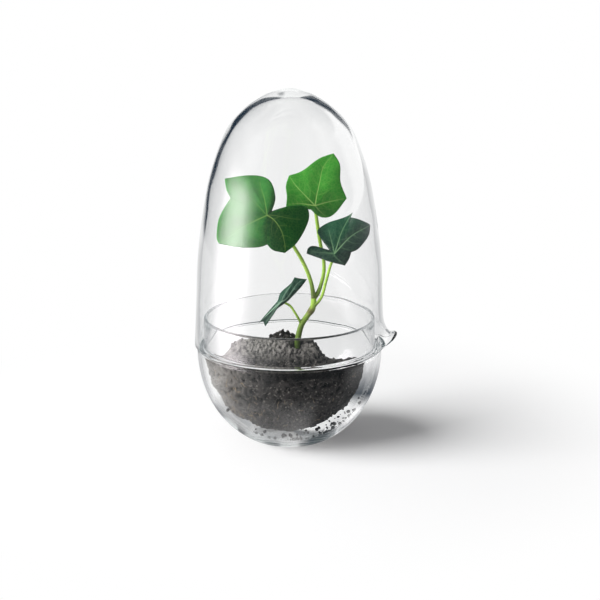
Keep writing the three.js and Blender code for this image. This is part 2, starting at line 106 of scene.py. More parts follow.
# Soil, as in the solid
SOIL_CLEARANCE = 0.4
SOIL_STANDOFF = 3.9
SOIL_SHIFT = -2
SOIL_DROP = 2
SOIL_EDGE_DROP = 0.5
SOIL_SLUMP = 2.5
BACK_FALL = 16
FALL_START = -15
MOUND_RISE = 6.3
MOUND_CENTRE = (-9, -2)
MOUND_SPREAD = (27, 18)
MOUND_STEEPNESS = (12, 16)  # exponents of the mound's left and right flanks
MOUND_FADE = 8
HEAP_CENTRE = (-4.5, 1)
HEAP_SPREAD = 8
HEAP_RISE = 6
HOLLOW_CENTRE = (30, 2)
HOLLOW_SPREAD = 12
HOLLOW_DEPTH = 5.5
STEM_HOLLOW_CENTRE = (4, -8.5)
STEM_HOLLOW_SPREAD = 5
STEM_HOLLOW_DEPTH = 5
LUMP_SPACING = 17
LUMP_HEIGHT = 3.2
CRUMB_RADIUS = 2.7

# Finer shapes of the soil, and its rows and columns of points
SOIL_COLUMNS = 460
SOIL_FLANK_ROWS = 110
SOIL_TOP_ROWS = 90
SOIL_POINT_SPACING = 0.66
SOIL_FIRST_SHARE = 0.02  # of the flank, where the first row lies
SOIL_TOP_SHARES = (0.985, 0.01)  # of the top's radius, from its first row to its last
SOIL_RIM_SHARE = 0.9  # of the top's radius, beyond which the top bends down to the flank
CRUMBLE_SIZES = ((4.2, 0.85), (2.1, 0.5))  # spacing and height of the crumbs, and of the grit on them
CREASE_SHARPNESS = 2.2
GRAIN_KINDS = 6
GRAIN_DENT = 0.3
GRAIN_DENT_SPACING = 0.8
GRAIN_DENT_SHIFT = 10  # in the noise from one kind of grain to the next
GRAIN_SQUASH = 0.75
GRAIN_RISE = 0.45  # a grain is coloured like soil that stands this high in its crumbs

# Grains strewn over the soil: how many, their radii, how far they are sunk as a share of these, the first row
# of the soil's points that they lie on, and how far small ones outnumber large ones
SEEN_ROW = 18
TOP_ROW = 116
LAST_ROWS = 8
SOIL_GRAINS = dict(count=3600, smallest=0.3, largest=1.2, sunk=0.3, first_row=SEEN_ROW, crowding=3)
MOUND_CRUMBS = dict(count=420, smallest=0.6, largest=1.5, sunk=0.15, first_row=TOP_ROW, crowding=1.5)
BARK_GRIT = dict(count=700, smallest=0.16, largest=0.6, sunk=-0.2, first_row=SEEN_ROW, crowding=3)

# Root fibres on the soil's flank, many of them at the front left
FIBRE_LENGTHS = (2, 9)
FIBRE_RADII = (0.07, 0.13)
FIBRE_ROWS = (30, 105)
FIBRE_STEPS = 24
FIBRE_WANDER = 0.4  # radians at a step
FIBRE_SMOOTHING = 5  # steps
FIBRE_SIDES = 5
FRONT_FIBRES = 60
FRONT_COLUMNS = (300, 26)  # mean and spread
OTHER_FIBRES = 70

# Specks of soil on the inside of the bowl
SPECK_COUNT = 130
SPECK_SHARES = (0.42, 0.97)  # of the cavity's curve, from its widest place down
SPECK_RADIUS = 0.4
SPECK_GROWTH = 0.75  # by which the largest specks are larger
SPECK_TURN = (-50, 42)  # mean and spread in degrees
SPECK_INSET = 1.1  # inward from the curve, as a share of a speck's radius
SPECK_LIFT = 0.5  # upward from it, as a share of a speck's radius

# Loose crumbs on the mound, each a clump of grains
CRUMB_COUNT = 7
CRUMB_GRAINS = 16
CRUMB_GRAIN_PLACES = (0.2, 0.75)  # as shares of the crumb's radius
CRUMB_GRAIN_RADII = (0.5, 1.15)

# Where the soil is dried, where painted light pales it to the left, and where painted shade darkens its edge
DRY_HEIGHTS = (53, 59)  # between which it goes from damp to dry
LIT_TOP_PLACES = (14, -16)  # between which painted light pales its top from half to fully dried, from right to left
LIT_FLANK_PLACES = (-16, -42)  # between which painted light pales its flank to half dried, to the left
HALF_DRY = 0.5
LEDGE_SHADE_HEIGHTS = (46.5, 50.5)  # between which painted shade comes on along its edge
LEDGE_SHADE_PLACES = (-32, 8)  # between which it does so from left to right
LEDGE_SHADE_OUTWARD = (0.8, 0.9)  # shares of its radius between which the edge begins
LEDGE_SHADE_STRENGTH = 0.9

# Plant, as in the solids: x to the right, y to the back, z up from just above the soil
PLANT_BASE = 59.9
PLANTING_DEPTH = 14
STEM_BASE_RADIUS = 1.9
STEM_TOP_RADIUS = 1.6
LEAF_THICKNESS = 0.6
LEAF_EDGE_THICKNESS = 0.15
LEAF_CUP = 2
STALK_BEND = 4

# Finer shapes of the plant
TUBE_SIDES = 16
SIDEWAYS = (0.3, 1, 0.2)  # not along the start of any tube
TUBE_STEPS = 90
PATH_STEPS = 24  # between two points of a path, before it is evened out
STEM_SWELLING = (0.82, 0.05, 0.45)  # place and span as shares of the stem's length, and height
STEM_STAIN = (0.8, 0.06, 0.8)  # place and span as shares of the stem's length, and strength
STEM_WOODY = (1, 0.45)  # shares of the stem's length, from fresh to woody
STALK_SWELLING = (0.05, 0.5)  # span as a share of the stalk's length, and height as a share of its radius
STALK_STAIN = (0.03, 0.5)  # span as a share of the stalk's length, and strength
STALK_WOODY = (0.3, 0)
STALK_TAPER = 0.12
LEAF_RINGS = 44
LEAF_EDGE_STEP = 0.5
LEAF_FULLNESS = 6  # how far out the blade keeps its thickness
VEIN_STEPS = 24
VEIN_WIDTH = 0.7
VEIN_DEPTH = 0.3
VEIN_TAPER = 0.65  # share of its width that a vein loses to its end
VEIN_FADE = 0.5  # share of its strength that it loses
SIDE_VEIN_STEPS = 7
SIDE_VEIN_WIDTH = 0.4
SIDE_VEIN_STRENGTH = 0.45  # as a share of the vein that it branches from
SIDE_VEIN_PLACES = (0.22, 0.4, 0.57, 0.74)  # shares of that vein's length
SIDE_VEIN_TURN = math.radians(50)
SIDE_VEIN_BOW = 0.3
SIDE_VEIN_REACH = 0.5  # as a share of that vein's length
PILLOW_HEIGHT = 0.9  # how far the blade swells forward between its veins
PILLOW_SPAN = 5
FOLD_SOFTNESS = 50  # degrees outside a fold's wedge at which it begins
FOLD_BENT = 90  # degrees inside at which it is fully bent
FOLD_SHADED = 14  # degrees inside at which its painted shade is full
FOLD_HUB = 3  # distance from the hub over which its painted shade sets in
# painted shade near the hub, and its span
PAINTED_HUB_SHADE = 0.55
HUB_SPAN = 9

STEM_PATH = [(4.8, -5, 0), (7.2, -5, 10.6), (10.7, -4.5, 16.1), (13.6, -4, 20.6), (14.4, -3, 26.8)]

# Each leaf: base point, lean (depth gained per step across and up), hub of the veins, a fold (the wedge of
# the blade round the hub, in degrees, that bends back, how steeply, and how strong its painted shade is), an
# outline of smooth runs from corner to corner, and its veins, each with a strength, in steps from the base
LEAVES = {
    "left": {
        "base": (-12.3, -9, 79.3),
        "lean": (0.05, 0.55),
        "hub": (-0.5, -1.5),
        "fold": (-84, 45, 0.4, 0.85),
        "outline": [
            [(4.3, 8.1), (0.2, 17.2), (-11.7, 19.5), (-25.4, 17.8)],
            [(-24.1, 11.9), (-21.6, 7.7)],
            [(-27.8, -2.4), (-29, -12.6), (-27.7, -16.6)],
            [(-16.8, -18.3), (-5.6, -18.6), (-0.3, -17.4)],
            [(3, -20.6), (9.6, -22.8)],
            [(16.9, -17.4), (23.5, -6.6), (22.2, 1.2), (13, 2.4), (2.3, 0.2)],
        ],
        "veins": [
            (0.45, [(-2.3, 7.6), (-4.4, 13.1), (-5, 18.2)]),
            (1, [(3.7, -4.6), (7.7, -10.7), (9.6, -18.7), (9.6, -22.4)]),
            (0.55, [(-8.4, -4.6), (-15, -7.7), (-27, -16)]),
            (0.25, [(-9, 6.5), (-17, 12), (-24.6, 17)]),
            (0.4, [(3.7, -2), (14.4, -4.7), (20.5, -5.5)]),
        ],
        "stalk_radius": 1.15,
        "stalk_from": 4,
        "stalk_path": [(12.6, -3, 36.6), (8.6, -3, 47), (3.3, -3.5, 56.2), (-5.4, -4, 69.3)],
    },
    "top": {
        "base": (14.7, 7, 79.3),
        "lean": (0, 0.35),
        "hub": (0.5, 0.5),
        "fold": (-100, -8, 0.35, 0.1),
        "outline": [
            [(2.4, -5.9), (7.1, -7.1), (11.8, -4.4), (19, 4.1)],
            [(15.6, 13.4), (15.4, 23.1), (11.8, 29.2)],
            [(2.4, 26.1), (-7.8, 19.3), (-14.9, 16.7)],
            [(-16.6, 11.2), (-16, 5.2), (-16.5, -0.7)],
            [(-8.6, -1.5), (-1.9, -2.2)],
        ],
        "veins": [
            (0.75, [(1.6, 6.7), (3.6, 14.9), (5.5, 21.6), (11, 28)]),
            (0.75, [(-5.5, 5.9), (-11, 11.2), (-14.4, 16)]),
            (0.7, [(7.1, 2.2), (15, 3.7), (18.2, 4)]),
            (0.75, [(-8.6, 1.5), (-14.9, 0.8)]),
            (0.5, [(4.8, -4.4), (7, -6.4)]),
        ],
        "stalk_radius": 1.15,
        "stalk_from": 4,
        "stalk_path": [
            (16.7, -2, 29.4), (19.8, 0, 39.3), (20.1, 3, 46.9), (18.1, 7, 58.4), (16.4, 10.5, 69.8),
        ],
    },
    "right": {
        "base": (25.1, -9, 58.2),
        "lean": (-0.1, 0.9),
        "hub": (1, -2.5),
        "fold": (-215, 28, 0.25, 0.9),
        "outline": [
            [(-10.5, 0.1), (-14, -1.3), (-15, -4.2)],
            [(-5.1, -6.6), (6.9, -9.2)],
            [(9.3, -5.7), (10.5, -2.4)],
            [(15.1, -0.3), (20.6, 5.8), (22.2, 11.3)],
            [(16.1, 13.9), (11, 14.8)],
            [(12.5, 17.4)],
            [(8.4, 15.3), (-1.8, 12.4), (-8.3, 8.4), (-7.3, 5.1), (-1.9, -1.4)],
        ],
        "veins": [
            (1, [(10.6, 5.5), (21.6, 11)]),
            (0.8, [(5.1, 7.5), (9.8, 14.4), (12.3, 17.2)]),
            (0.6, [(-1.2, 4.8), (-2.6, 10.5)]),
            (0.5, [(1.2, -4.1), (6.4, -8.6)]),
            (0.35, [(-6, -2.6), (-13.6, -3)]),
        ],
        "stalk_radius": 0.9,
        "stalk_from": 3,
        "stalk_path": [(18.7, -5, 27.4), (21.4, -6, 37.4), (24, -6, 47.2)],
    },
    "low": {
        "base": (-1.7, -10, 25.8),
        "lean": (-0.1, 0.35),
        "hub": (-3, 0.5),
        "fold": (-130, 40, 0.25, 0.8),
        "outline": [
            [(2.5, 1.9), (8.7, 8), (12.1, 12.2)],
            [(7.8, 12.6), (4.6, 13.2)],
            [(2.4, 9.8), (-3.4, 4.9), (-5.3, 0.3), (-8.7, -3.9), (-16.3, -12.8)],
            [(-13.6, -11.4)],
            [(-12.3, -14.7)],
            [(-8.2, -8.5), (-5.4, -4.4), (0.5, 0)],
        ],
        "veins": [
            (1, [(0.2, 2.3), (5.3, 9), (9.5, 12)]),
            (0.5, [(-1.5, 4), (3.6, 10.5), (5, 12.6)]),
            (0.7, [(-6.2, -3.2), (-12.6, -13.4)]),
            (0.9, [(-7.2, -3.4), (-15.4, -12.2)]),
        ],
        "stalk_radius": 0.75,
        "stalk_from": 1,
        "stalk_path": [(3.3, -7, 18.3), (0.2, -6.5, 22.8)],
    },
}

# Floor, light and camera, in metres and degrees
FLOOR_SIZE = 12
FLOOR_DROP = 0.05 * MM
PAPER_LIFT = 0.12  # light that the floor near the part adds to its own, to the eye and in glass
SHEET_LEFT_END = (-16, -25)  # turns between which the white sheet behind the part ends on its left
FILL_LIGHT = (0.16, 0.16, 0.165, 1)
GLASS_BOUNCES = 128  # enough for light that runs along inside a wall to its edge
LAMP_WIDTH, LAMP_HEIGHT = 1.9, 2.0
LAMP_RADIANCE = 9.7  # watts per square metre and steradian
LAMP_TARGET = (0, 0, 80 * MM)
LAMP_DISTANCE, LAMP_TURN, LAMP_ELEVATION = 2.4, 75, 30
MIRRORED_LAMP = 7  # its radiance as glass mirrors it
MIRRORED_LAMP_TINT = (1, 0.93, 0.97)
MIRRORED_LAMP_FADE = 2.3  # over 1 draws its light further to the left
MOST_FACES = 6.5  # of glass, that its light may pass on the way to the eye
CAMERA_TARGET = Vector((6.188, 0, 83.917)) * MM
CAMERA_DISTANCE = 1274.72 * MM
CAMERA_ELEVATION = 15.6
FOCAL_PIXELS, FRAME_PIXELS = 2163, 600

# How a share grows along a range
PLAIN, SMOOTH = "LINEAR", "SMOOTHSTEP"

# Radii and heights that follow
dome_foot = LEDGE_HEIGHT + SEAT_CLEARANCE + RIM_ROUNDING
bowl_radius = RIM_RADIUS - RIM_OVERHANG
collar_radius = RIM_RADIUS - DOME_WALL - COLLAR_GAP
collar_top = LEDGE_HEIGHT + COLLAR_HEIGHT
cavity_radius = bowl_radius - BOWL_WALL
cavity_top = LEDGE_HEIGHT - NECK_DROP
soil_radius = cavity_radius - SOIL_STANDOFF
soil_bottom = BASE_THICKNESS + SOIL_CLEARANCE
soil_widest = LEDGE_HEIGHT - SOIL_DROP
soil_edge_height = soil_widest - SOIL_EDGE_DROP
soil_heart = np.array((SOIL_SHIFT, 0, soil_widest))

rng = np.random.default_rng(7)


# Small tools for shapes

def smoothstep(low, high, value):
    share = np.clip((value - low) / (high - low), 0, 1)
    return share * share * (3 - 2 * share)


def unit(vectors):
    return vectors / np.maximum(np.linalg.norm(vectors, axis=-1, keepdims=True), 1e-12)


def all_round(count):
    return np.linspace(0, 2 * math.pi, count, endpoint=False)


def turned(radius, angle, height):
    return np.stack(np.broadcast_arrays(radius * np.cos(angle), radius * np.sin(angle), height), axis=-1)


def between(start, end, leaving, arriving, share):
    """The place at a share of the way on a smooth curve that leaves start and arrives at end as given."""
    cubic = 2 * start - 2 * end + leaving + arriving
    square = 3 * end - 3 * start - 2 * leaving - arriving
    return ((cubic * share + square) * share + leaving) * share + start


def spline(points, at):
    """A smooth curve through points, at shares from 0 at the first point to 1 at the last."""
    points = np.asarray(points, float)
    last = len(points) - 1
    place = np.asarray(at) * last
    start = np.clip(np.floor(place).astype(int), 0, last - 1)
    share = (place - start)[..., None]
    before, near, far, after = (points[np.clip(start + step, 0, last)] for step in (-1, 0, 1, 2))
    return between(near, far, (far - before) / 2, (after - near) / 2, share)


def fractal(points, spacing):
    """Smooth noise of about -1 to 1 at points, with features a spacing apart."""
    flat = (np.asarray(points) / spacing).reshape(-1, 3)
    values = [noise.noise(Vector(point)) for point in flat]
    return np.array(values).reshape(np.shape(points)[:-1])


def skin(first_end, rings, last_end):
    """Points and faces of a closed skin over rings that run the same way round, with a point at each end."""
    rings = np.asarray(rings)
    count, sides = rings.shape[:2]
    points = np.concatenate([[first_end], rings.reshape(-1, 3), [last_end]])
    here = np.arange(sides)
    beside = (here + 1) % sides
    low = 1 + sides * np.arange(count - 1)[:, None]
    quads = np.stack([low + here, low + beside, low + sides + beside, low + sides + here], axis=-1)
    last = len(points) - 1
    first_fan = np.stack([np.zeros_like(here), 1 + beside, 1 + here], axis=-1)
    last_fan = np.stack([np.full_like(here, last), last - sides + here, last - sides + beside], axis=-1)
    return points, first_fan.tolist() + quads.reshape(-1, 4).tolist() + last_fan.tolist()


def merged(shapes):
    """Several shapes, each points and faces, as one."""
    points, faces = [], []
    start = 0
    for shape_points, shape_faces in shapes:
        points.append(shape_points)
        faces += [[start + corner for corner in face] for face in shape_faces]
        start += len(shape_points)
    return np.concatenate(points), faces


def make_piece(name, shape, body, slot, material, replaces=(), **attributes):
    """A smooth mesh piece that rides on a body; attributes are numbers per point that its material reads."""
    points, faces = shape
    mesh = bpy.data.meshes.new(name)
    mesh.from_pydata((np.asarray(points) * MM).tolist(), [], faces)
    for key, values in attributes.items():
        mesh.attributes.new(key, "FLOAT", "POINT").data.foreach_set("value", np.asarray(values, np.float32))
    mesh.materials.append(material)
    mesh.shade_smooth()
    piece = bpy.data.objects.new(name, mesh)
    bpy.context.scene.collection.objects.link(piece)
    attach(piece, body)
    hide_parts(*replaces)
    return piece


# Small tools for materials

def linear(colour):
    """An sRGB hex colour as linear red, green, blue and alpha."""
    channels = [int(colour[place:place + 2], 16) / 255 for place in (1, 3, 5)]
    return [c / 12.92 if c <= 0.04045 else ((c + 0.055) / 1.055) ** 2.4 for c in channels] + [1.0]


def add_node(tree, kind, inputs=None, **settings):
    """A node with its settings. An input is a value, a socket, or a node whose first output in use is linked.
    A Mix of colours has its share at input 0 and its two colours at 6 and 7."""
    made = tree.nodes.new("ShaderNode" + kind)
    for name, value in settings.items():
        setattr(made, name, value)
    for socket, value in (inputs or {}).items():
        if isinstance(value, bpy.types.Node):
            value = next(output for output in value.outputs if output.enabled)
        if isinstance(value, bpy.types.NodeSocket):
            tree.links.new(value, made.inputs[socket])
        else:
            made.inputs[socket].default_value = value
    return made


def new_material(name, **sockets):
    """A material with its shader's own sockets set; returns the material, its nodes and the shader."""
    material = bpy.data.materials.new(name)
    material.use_nodes = True
    shader = material.node_tree.nodes["Principled BSDF"]
    for socket, value in sockets.items():
        shader.inputs[socket.replace("_", " ")].default_value = value
    return material, material.node_tree, shader


def finish_with(tree, shader, colour, bump=None):
    """Link a colour, and a bump where there is one, to a material's shader."""
    tree.links.new(colour.outputs[2], shader.inputs["Base Color"])
    if bump:
        tree.links.new(bump.outputs["Normal"], shader.inputs["Normal"])


# Materials

def clear_blown_glass():
    """Clear soda glass, blown and fire-polished: mirror-smooth, with a faint green where it is thick."""
    material, tree, _ = new_material(
        "clear_blown_glass",
        Base_Color=linear("#ffffff"), Roughness=0.0, IOR=1.5, Transmission_Weight=1.0,
    )
    tint = add_node(tree, "VolumeAbsorption", {"Color": linear("#d6e8e6"), "Density": 4.0})
    tree.links.new(tint.outputs["Volume"], tree.nodes["Material Output"].inputs["Volume"])
    return material


def damp_potting_soil():
    """Damp, crumbled peat and bark: matt, painted shade black in its creases and under the ledge, grey on
    dried crumbs and grit, paler at the left with painted light.
    """
    grain = 1.3 * MM
    # black is the painted shade of the creases and of the edge under the ledge
    black = linear("#0a0908")
    material, tree, shader = new_material("damp_potting_soil", Roughness=0.92, Specular_IOR_Level=0.25)
    place = add_node(tree, "TexCoord").outputs["Object"]
    # how high a place stands in its crumbs, how dried and lit it is painted, and its painted shade under the
    # ledge
    rise, dry, wet = (
        add_node(tree, "Attribute", attribute_name=key).outputs["Fac"] for key in ("rise", "dry", "wet")
    )
    grains = add_node(
        tree, "TexNoise", {"Vector": place, "Scale": 1 / grain, "Detail": 3.0, "Roughness": 0.7},
    )
    crest, grit = (
        add_node(
            tree, "MapRange", {"Value": value, "From Min": low, "From Max": high},
            interpolation_type=SMOOTH,
        )
        for value, low, high in ((rise, -0.15, 0.75), (grains, 0.56, 0.7))
    )
    # the creases' painted shade, lighter where dried or lit, and the crumbs' own colour
    creases, crumbs = (
        add_node(tree, "Mix", {0: dry, 6: damp_colour, 7: linear(dry_colour)}, data_type="RGBA")
        for damp_colour, dry_colour in ((black, "#63605d"), (linear("#3a3735"), "#98948f"))
    )
    colour = creases
    # crumbs over the painted crease shade, pale grit, then the painted shade under the ledge
    for share, over in ((crest, crumbs), (grit, linear("#87827c")), (wet, black)):
        colour = add_node(tree, "Mix", {0: share, 6: colour, 7: over}, data_type="RGBA")
    bump = add_node(tree, "Bump", {"Height": grains, "Strength": 1.0, "Distance": 1.0 * MM})
    finish_with(tree, shader, colour, bump)
    return material


def dry_fibre(name, pale, dark):
    """Dead root and bark, dried out: dull straw or grey, unevenly stained darker."""
    stain = 3 * MM
    material, tree, shader = new_material(name, Roughness=0.8, Specular_IOR_Level=0.3)
    place = add_node(tree, "TexCoord").outputs["Object"]
    stains = add_node(tree, "TexNoise", {"Vector": place, "Scale": 1 / stain, "Detail": 2.0})
    colour = add_node(tree, "Mix", {0: stains, 6: linear(pale), 7: linear(dark)}, data_type="RGBA")
    finish_with(tree, shader, colour)
    return material


def waxy_ivy_leaf(name, blade, painted_shade, vein, underside):
    """Ivy leaf with its natural wax: soft sheen, mottled green between pale veins, painted shade on its fold
    and near its hub, and a paler underside.
    """
    mottle = 7 * MM
    cell = 1.9 * MM
    material, tree, shader = new_material(name, Roughness=0.42, Coat_Weight=0.18, Coat_Roughness=0.3)
    place = add_node(tree, "TexCoord").outputs["Object"]
    # vein lines, the underside, and the share of painted shade
    veins, front, depth = (
        add_node(tree, "Attribute", attribute_name=key).outputs["Fac"] for key in ("vein", "front", "painted_shade")
    )
    mottles = add_node(tree, "TexNoise", {"Vector": place, "Scale": 1 / mottle, "Detail": 3.0})
    cells = add_node(tree, "TexVoronoi", {"Vector": place, "Scale": 1 / cell}, feature="DISTANCE_TO_EDGE")
    net = add_node(
        tree, "MapRange", {"Value": cells, "From Max": 0.16, "To Min": 0.09, "To Max": 0.0},
        interpolation_type=SMOOTH,
    )
    patchy = add_node(tree, "MapRange", {"Value": mottles, "From Min": 0.3, "From Max": 0.7})
    # the darker green for the mottles and for the painted shade of the fold and the hub
    darker = add_node(tree, "Math", {0: patchy, 1: 0.45, 2: depth}, operation="MULTIPLY_ADD", use_clamp=True)
    lines = add_node(tree, "Math", {0: veins, 1: net}, operation="MAXIMUM")
    colour = linear(blade)
    for share, over in ((darker, linear(painted_shade)), (lines, linear(vein))):
        colour = add_node(tree, "Mix", {0: share, 6: colour, 7: over}, data_type="RGBA")
    sides = add_node(tree, "Mix", {0: front, 6: linear(underside), 7: colour}, data_type="RGBA")
    bump = add_node(tree, "Bump", {"Height": net, "Strength": 0.35, "Distance": -0.4 * MM})
    finish_with(tree, shader, sides, bump)
    return material


def smooth_ivy_shoot():
    """Young ivy shoot: smooth yellow-green skin, streaked lengthwise and browned at its joints."""
    streak = 1.2 * MM
    lengthwise = (1, 1, 0.12)
    material, tree, shader = new_material(
        "smooth_ivy_shoot", Roughness=0.4, Coat_Weight=0.1, Coat_Roughness=0.35,
    )
    place = add_node(tree, "TexCoord").outputs["Object"]
    woody, joint = (
        add_node(tree, "Attribute", attribute_name=key).outputs["Fac"] for key in ("woody", "joint")
    )
    stretched = add_node(tree, "VectorMath", {0: place, 1: lengthwise}, operation="MULTIPLY")
    streaks = add_node(tree, "TexNoise", {"Vector": stretched, "Scale": 1 / streak, "Detail": 2.0})
    colour = linear("#c4e668")
    for share, over in ((streaks, "#9ccc46"), (woody, "#6f8a3c"), (joint, "#6d5147")):
        colour = add_node(tree, "Mix", {0: share, 6: colour, 7: linear(over)}, data_type="RGBA")
    bump = add_node(tree, "Bump", {"Height": streaks, "Strength": 0.25, "Distance": 0.2 * MM})
    finish_with(tree, shader, colour, bump)
    return material


# Bowl

def bowl_curve(radius, top, depth, share):
    """A quarter of a superellipse, as radius and height, from its widest place at share 0 to its lowest."""
    angle = np.asarray(share) * math.pi / 2
    power = 2 / BOWL_ROUNDNESS
    return np.stack([radius * np.cos(angle) ** power, top - depth * np.sin(angle) ** power], axis=-1)


def footed_curve(radius, top, foot_radius, foot_height, share):
    """The same curve from its widest place at share 0 to a flat foot at share 1."""
    foot_angle = math.acos((foot_radius / radius) ** (BOWL_ROUNDNESS / 2))
    depth = (top - foot_height) / math.sin(foot_angle) ** (2 / BOWL_ROUNDNESS)
    return bowl_curve(radius, top, depth, np.asarray(share) * foot_angle / (math.pi / 2))


def cavity_curve(share):
    return footed_curve(cavity_radius, cavity_top, FLOOR_RADIUS, BASE_THICKNESS, share)


def arc(centre, radius, start, end, steps=ROUNDING_STEPS):
    angles = np.radians(np.linspace(start, end, steps))
    return np.stack([centre[0] + radius * np.cos(angles), centre[1] + radius * np.sin(angles)], axis=-1)


def bowl_profile():
    """The bowl's section as radius and height, from the foot's middle over the collar to the floor's."""
    outside_shares = np.linspace(*OUTSIDE_SHARES, PROFILE_STEPS)
    outside = footed_curve(bowl_radius, LEDGE_HEIGHT, FOOT_RADIUS, 0, outside_shares)
    inside = cavity_curve(np.linspace(*INSIDE_SHARES, PROFILE_STEPS))
    corner_shares = np.linspace(0, 1, CORNER_STEPS)
    floor_bend = (FLOOR_RADIUS - FLOOR_BEND[0], BASE_THICKNESS + FLOOR_BEND[1])
    floor_edge = (FLOOR_RADIUS - FLOOR_ROUNDING, BASE_THICKNESS)
    foot_edge = (FOOT_RADIUS - FOOT_ROUNDING, 0)
    foot_bend = (FOOT_RADIUS - FOOT_BEND[0], FOOT_BEND[1])
    half_wall = COLLAR_WALL / 2
    collar_inside = collar_radius - COLLAR_WALL
    collar_middle = LEDGE_HEIGHT + COLLAR_HEIGHT / 2
    neck_share = np.linspace(1, 0, NECK_STEPS)
    neck = np.stack([
        cavity_radius + (collar_inside - cavity_radius) * smoothstep(0, 1, neck_share),
        cavity_top + (LEDGE_HEIGHT + NECK_RISE - cavity_top) * neck_share,
    ], axis=-1)
    return np.concatenate([
        [(FOOT_RADIUS * share, 0) for share in FLAT_SHARES],
        spline([foot_edge, foot_bend, outside[0]], corner_shares[:-1]),
        outside,
        arc((bowl_radius - LEDGE_ROUNDING, LEDGE_HEIGHT - LEDGE_ROUNDING), LEDGE_ROUNDING, 0, 90),
        arc((collar_radius + LEDGE_ROUNDING, LEDGE_HEIGHT + LEDGE_ROUNDING), LEDGE_ROUNDING, 270, 180),
        [(collar_radius, collar_middle)],
        arc((collar_radius - half_wall, collar_top - half_wall), half_wall, 0, 180, 2 * ROUNDING_STEPS - 1),
        [(collar_inside, collar_middle)],
        neck,
        inside,
        spline([inside[-1], floor_bend, floor_edge], corner_shares[1:]),
        [(FLOOR_RADIUS * share, BASE_THICKNESS) for share in FLAT_SHARES[::-1]],
    ])


def bowl_shape():
    profile = bowl_profile()
    rings = turned(profile[:, :1], all_round(GLASS_SIDES), profile[:, 1:])
    return skin((0, 0, 0), rings, (0, 0, BASE_THICKNESS))


# Dome

def dome_outline(share):
    """Radius and rise over the rim, by share of the outline."""
    past_apex = (-DOME_OUTLINE[-2][0], DOME_OUTLINE[-2][1])
    apex_share = (len(DOME_OUTLINE) - 1) / len(DOME_OUTLINE)
    outline = spline(DOME_OUTLINE + [past_apex], np.asarray(share) * apex_share)
    return RIM_RADIUS * outline[..., 0], (OVERALL_HEIGHT - dome_foot) * outline[..., 1]


def lip_drawing(angle, rise):
    """How far the lip is drawn out of the wall across its width, and up its height, from 0 to 1."""
    away = np.abs((angle + math.pi) % (2 * math.pi) - math.pi)
    across = np.cos(np.minimum(1, away / LIP_HALF_ANGLE) * math.pi / 2) ** 2
    return across, np.maximum(0, 1 - rise / LIP_HEIGHT)


def dome_outside(angle, share):
    """The dome's outside by angle and share of its outline, with the lip drawn out of the wall."""
    radius, rise = dome_outline(share)
    across, drawn = lip_drawing(angle, rise)
    reach = LIP_REACH * across * drawn ** 2
    lift = LIP_RISE * across * drawn ** 4
    return turned(radius + reach, angle, dome_foot + rise + lift)


def dome_inside(angle, share):
    """The inside lies a wall's thickness in from the outside, square to it, with the waves of blown glass."""
    step = 1e-3
    upward = dome_outside(angle, share + step) - dome_outside(angle, np.maximum(0, share - step))
    around = dome_outside(angle + step, share) - dome_outside(angle - step, share)
    outward = unit(np.cross(around, upward))
    outside = dome_outside(angle, share)
    across, drawn = lip_drawing(angle, dome_outline(share)[1])
    thickening = (APEX_THICKNESS - DOME_WALL) * smoothstep(0, 1, share)
    wall = DOME_WALL + thickening - LIP_THINNING * across * drawn ** 2
    wave = GLASS_WAVE + (APEX_WAVE - GLASS_WAVE) * smoothstep(*APEX_WAVE_SHARES, share)
    uneven = wave * smoothstep(0, CALM_SHARE, share) * fractal(outside, GLASS_WAVE_LENGTH)
    return outside - outward * (wall + uneven)[..., None]


def dome_shape():
    angle, share = np.meshgrid(
        all_round(GLASS_SIDES),
        np.linspace(0, 1, DOME_ROWS) ** DOME_ROW_CROWDING * DOME_LAST_SHARE,
    )
    outside = dome_outside(angle, share)
    inside = dome_inside(angle, share)
    downward = unit(outside[0] - outside[1])
    middle, half = (outside[0] + inside[0]) / 2, (outside[0] - inside[0]) / 2
    turn = np.linspace(-math.pi / 2, math.pi / 2, ROUNDING_STEPS + 2)[1:-1, None, None]
    edge = middle + half * np.sin(turn) + RIM_ROUNDING * downward * np.cos(turn)
    inside_apex = inside[-1].mean(axis=0)
    return skin(inside_apex, np.concatenate([inside[::-1], edge, outside]), (0, 0, OVERALL_HEIGHT))


# Soil

def bump(x, y, centre, size):
    return np.exp(-((x - centre[0]) ** 2 + (y - centre[1]) ** 2) / size ** 2)


def settled_top(x, y):
    """Level at the front, falling away at the back, with a steep mound, a heap on it and two hollows."""
    across = (x - MOUND_CENTRE[0]) / MOUND_SPREAD[0]
    along = (y - MOUND_CENTRE[1]) / MOUND_SPREAD[1]
    inward = np.maximum(0, 1 - (np.hypot(x - SOIL_SHIFT, y) / soil_radius) ** MOUND_FADE)
    steepness = np.where(across < 0, *MOUND_STEEPNESS)
    mound = MOUND_RISE * inward * np.exp(-np.abs(across) ** steepness - along ** 4)
    heap = HEAP_RISE * bump(x, y, HEAP_CENTRE, HEAP_SPREAD)
    hollow = HOLLOW_DEPTH * bump(x, y, HOLLOW_CENTRE, HOLLOW_SPREAD)
    stem_hollow = STEM_HOLLOW_DEPTH * bump(x, y, STEM_HOLLOW_CENTRE, STEM_HOLLOW_SPREAD)
    fall = BACK_FALL * smoothstep(FALL_START, soil_radius, y)
    return soil_edge_height + mound + heap - hollow - stem_hollow - fall


def crease_depth(points):
    """How deep places lie between the soil's lumps."""
    a, b, c = (2 * math.pi / LUMP_SPACING * points[..., axis] for axis in range(3))
    wave = np.sin(a + np.sin(b)) + np.sin(b + np.sin(c)) + np.sin(c + np.sin(a))
    return LUMP_HEIGHT * (3 - wave) / 6


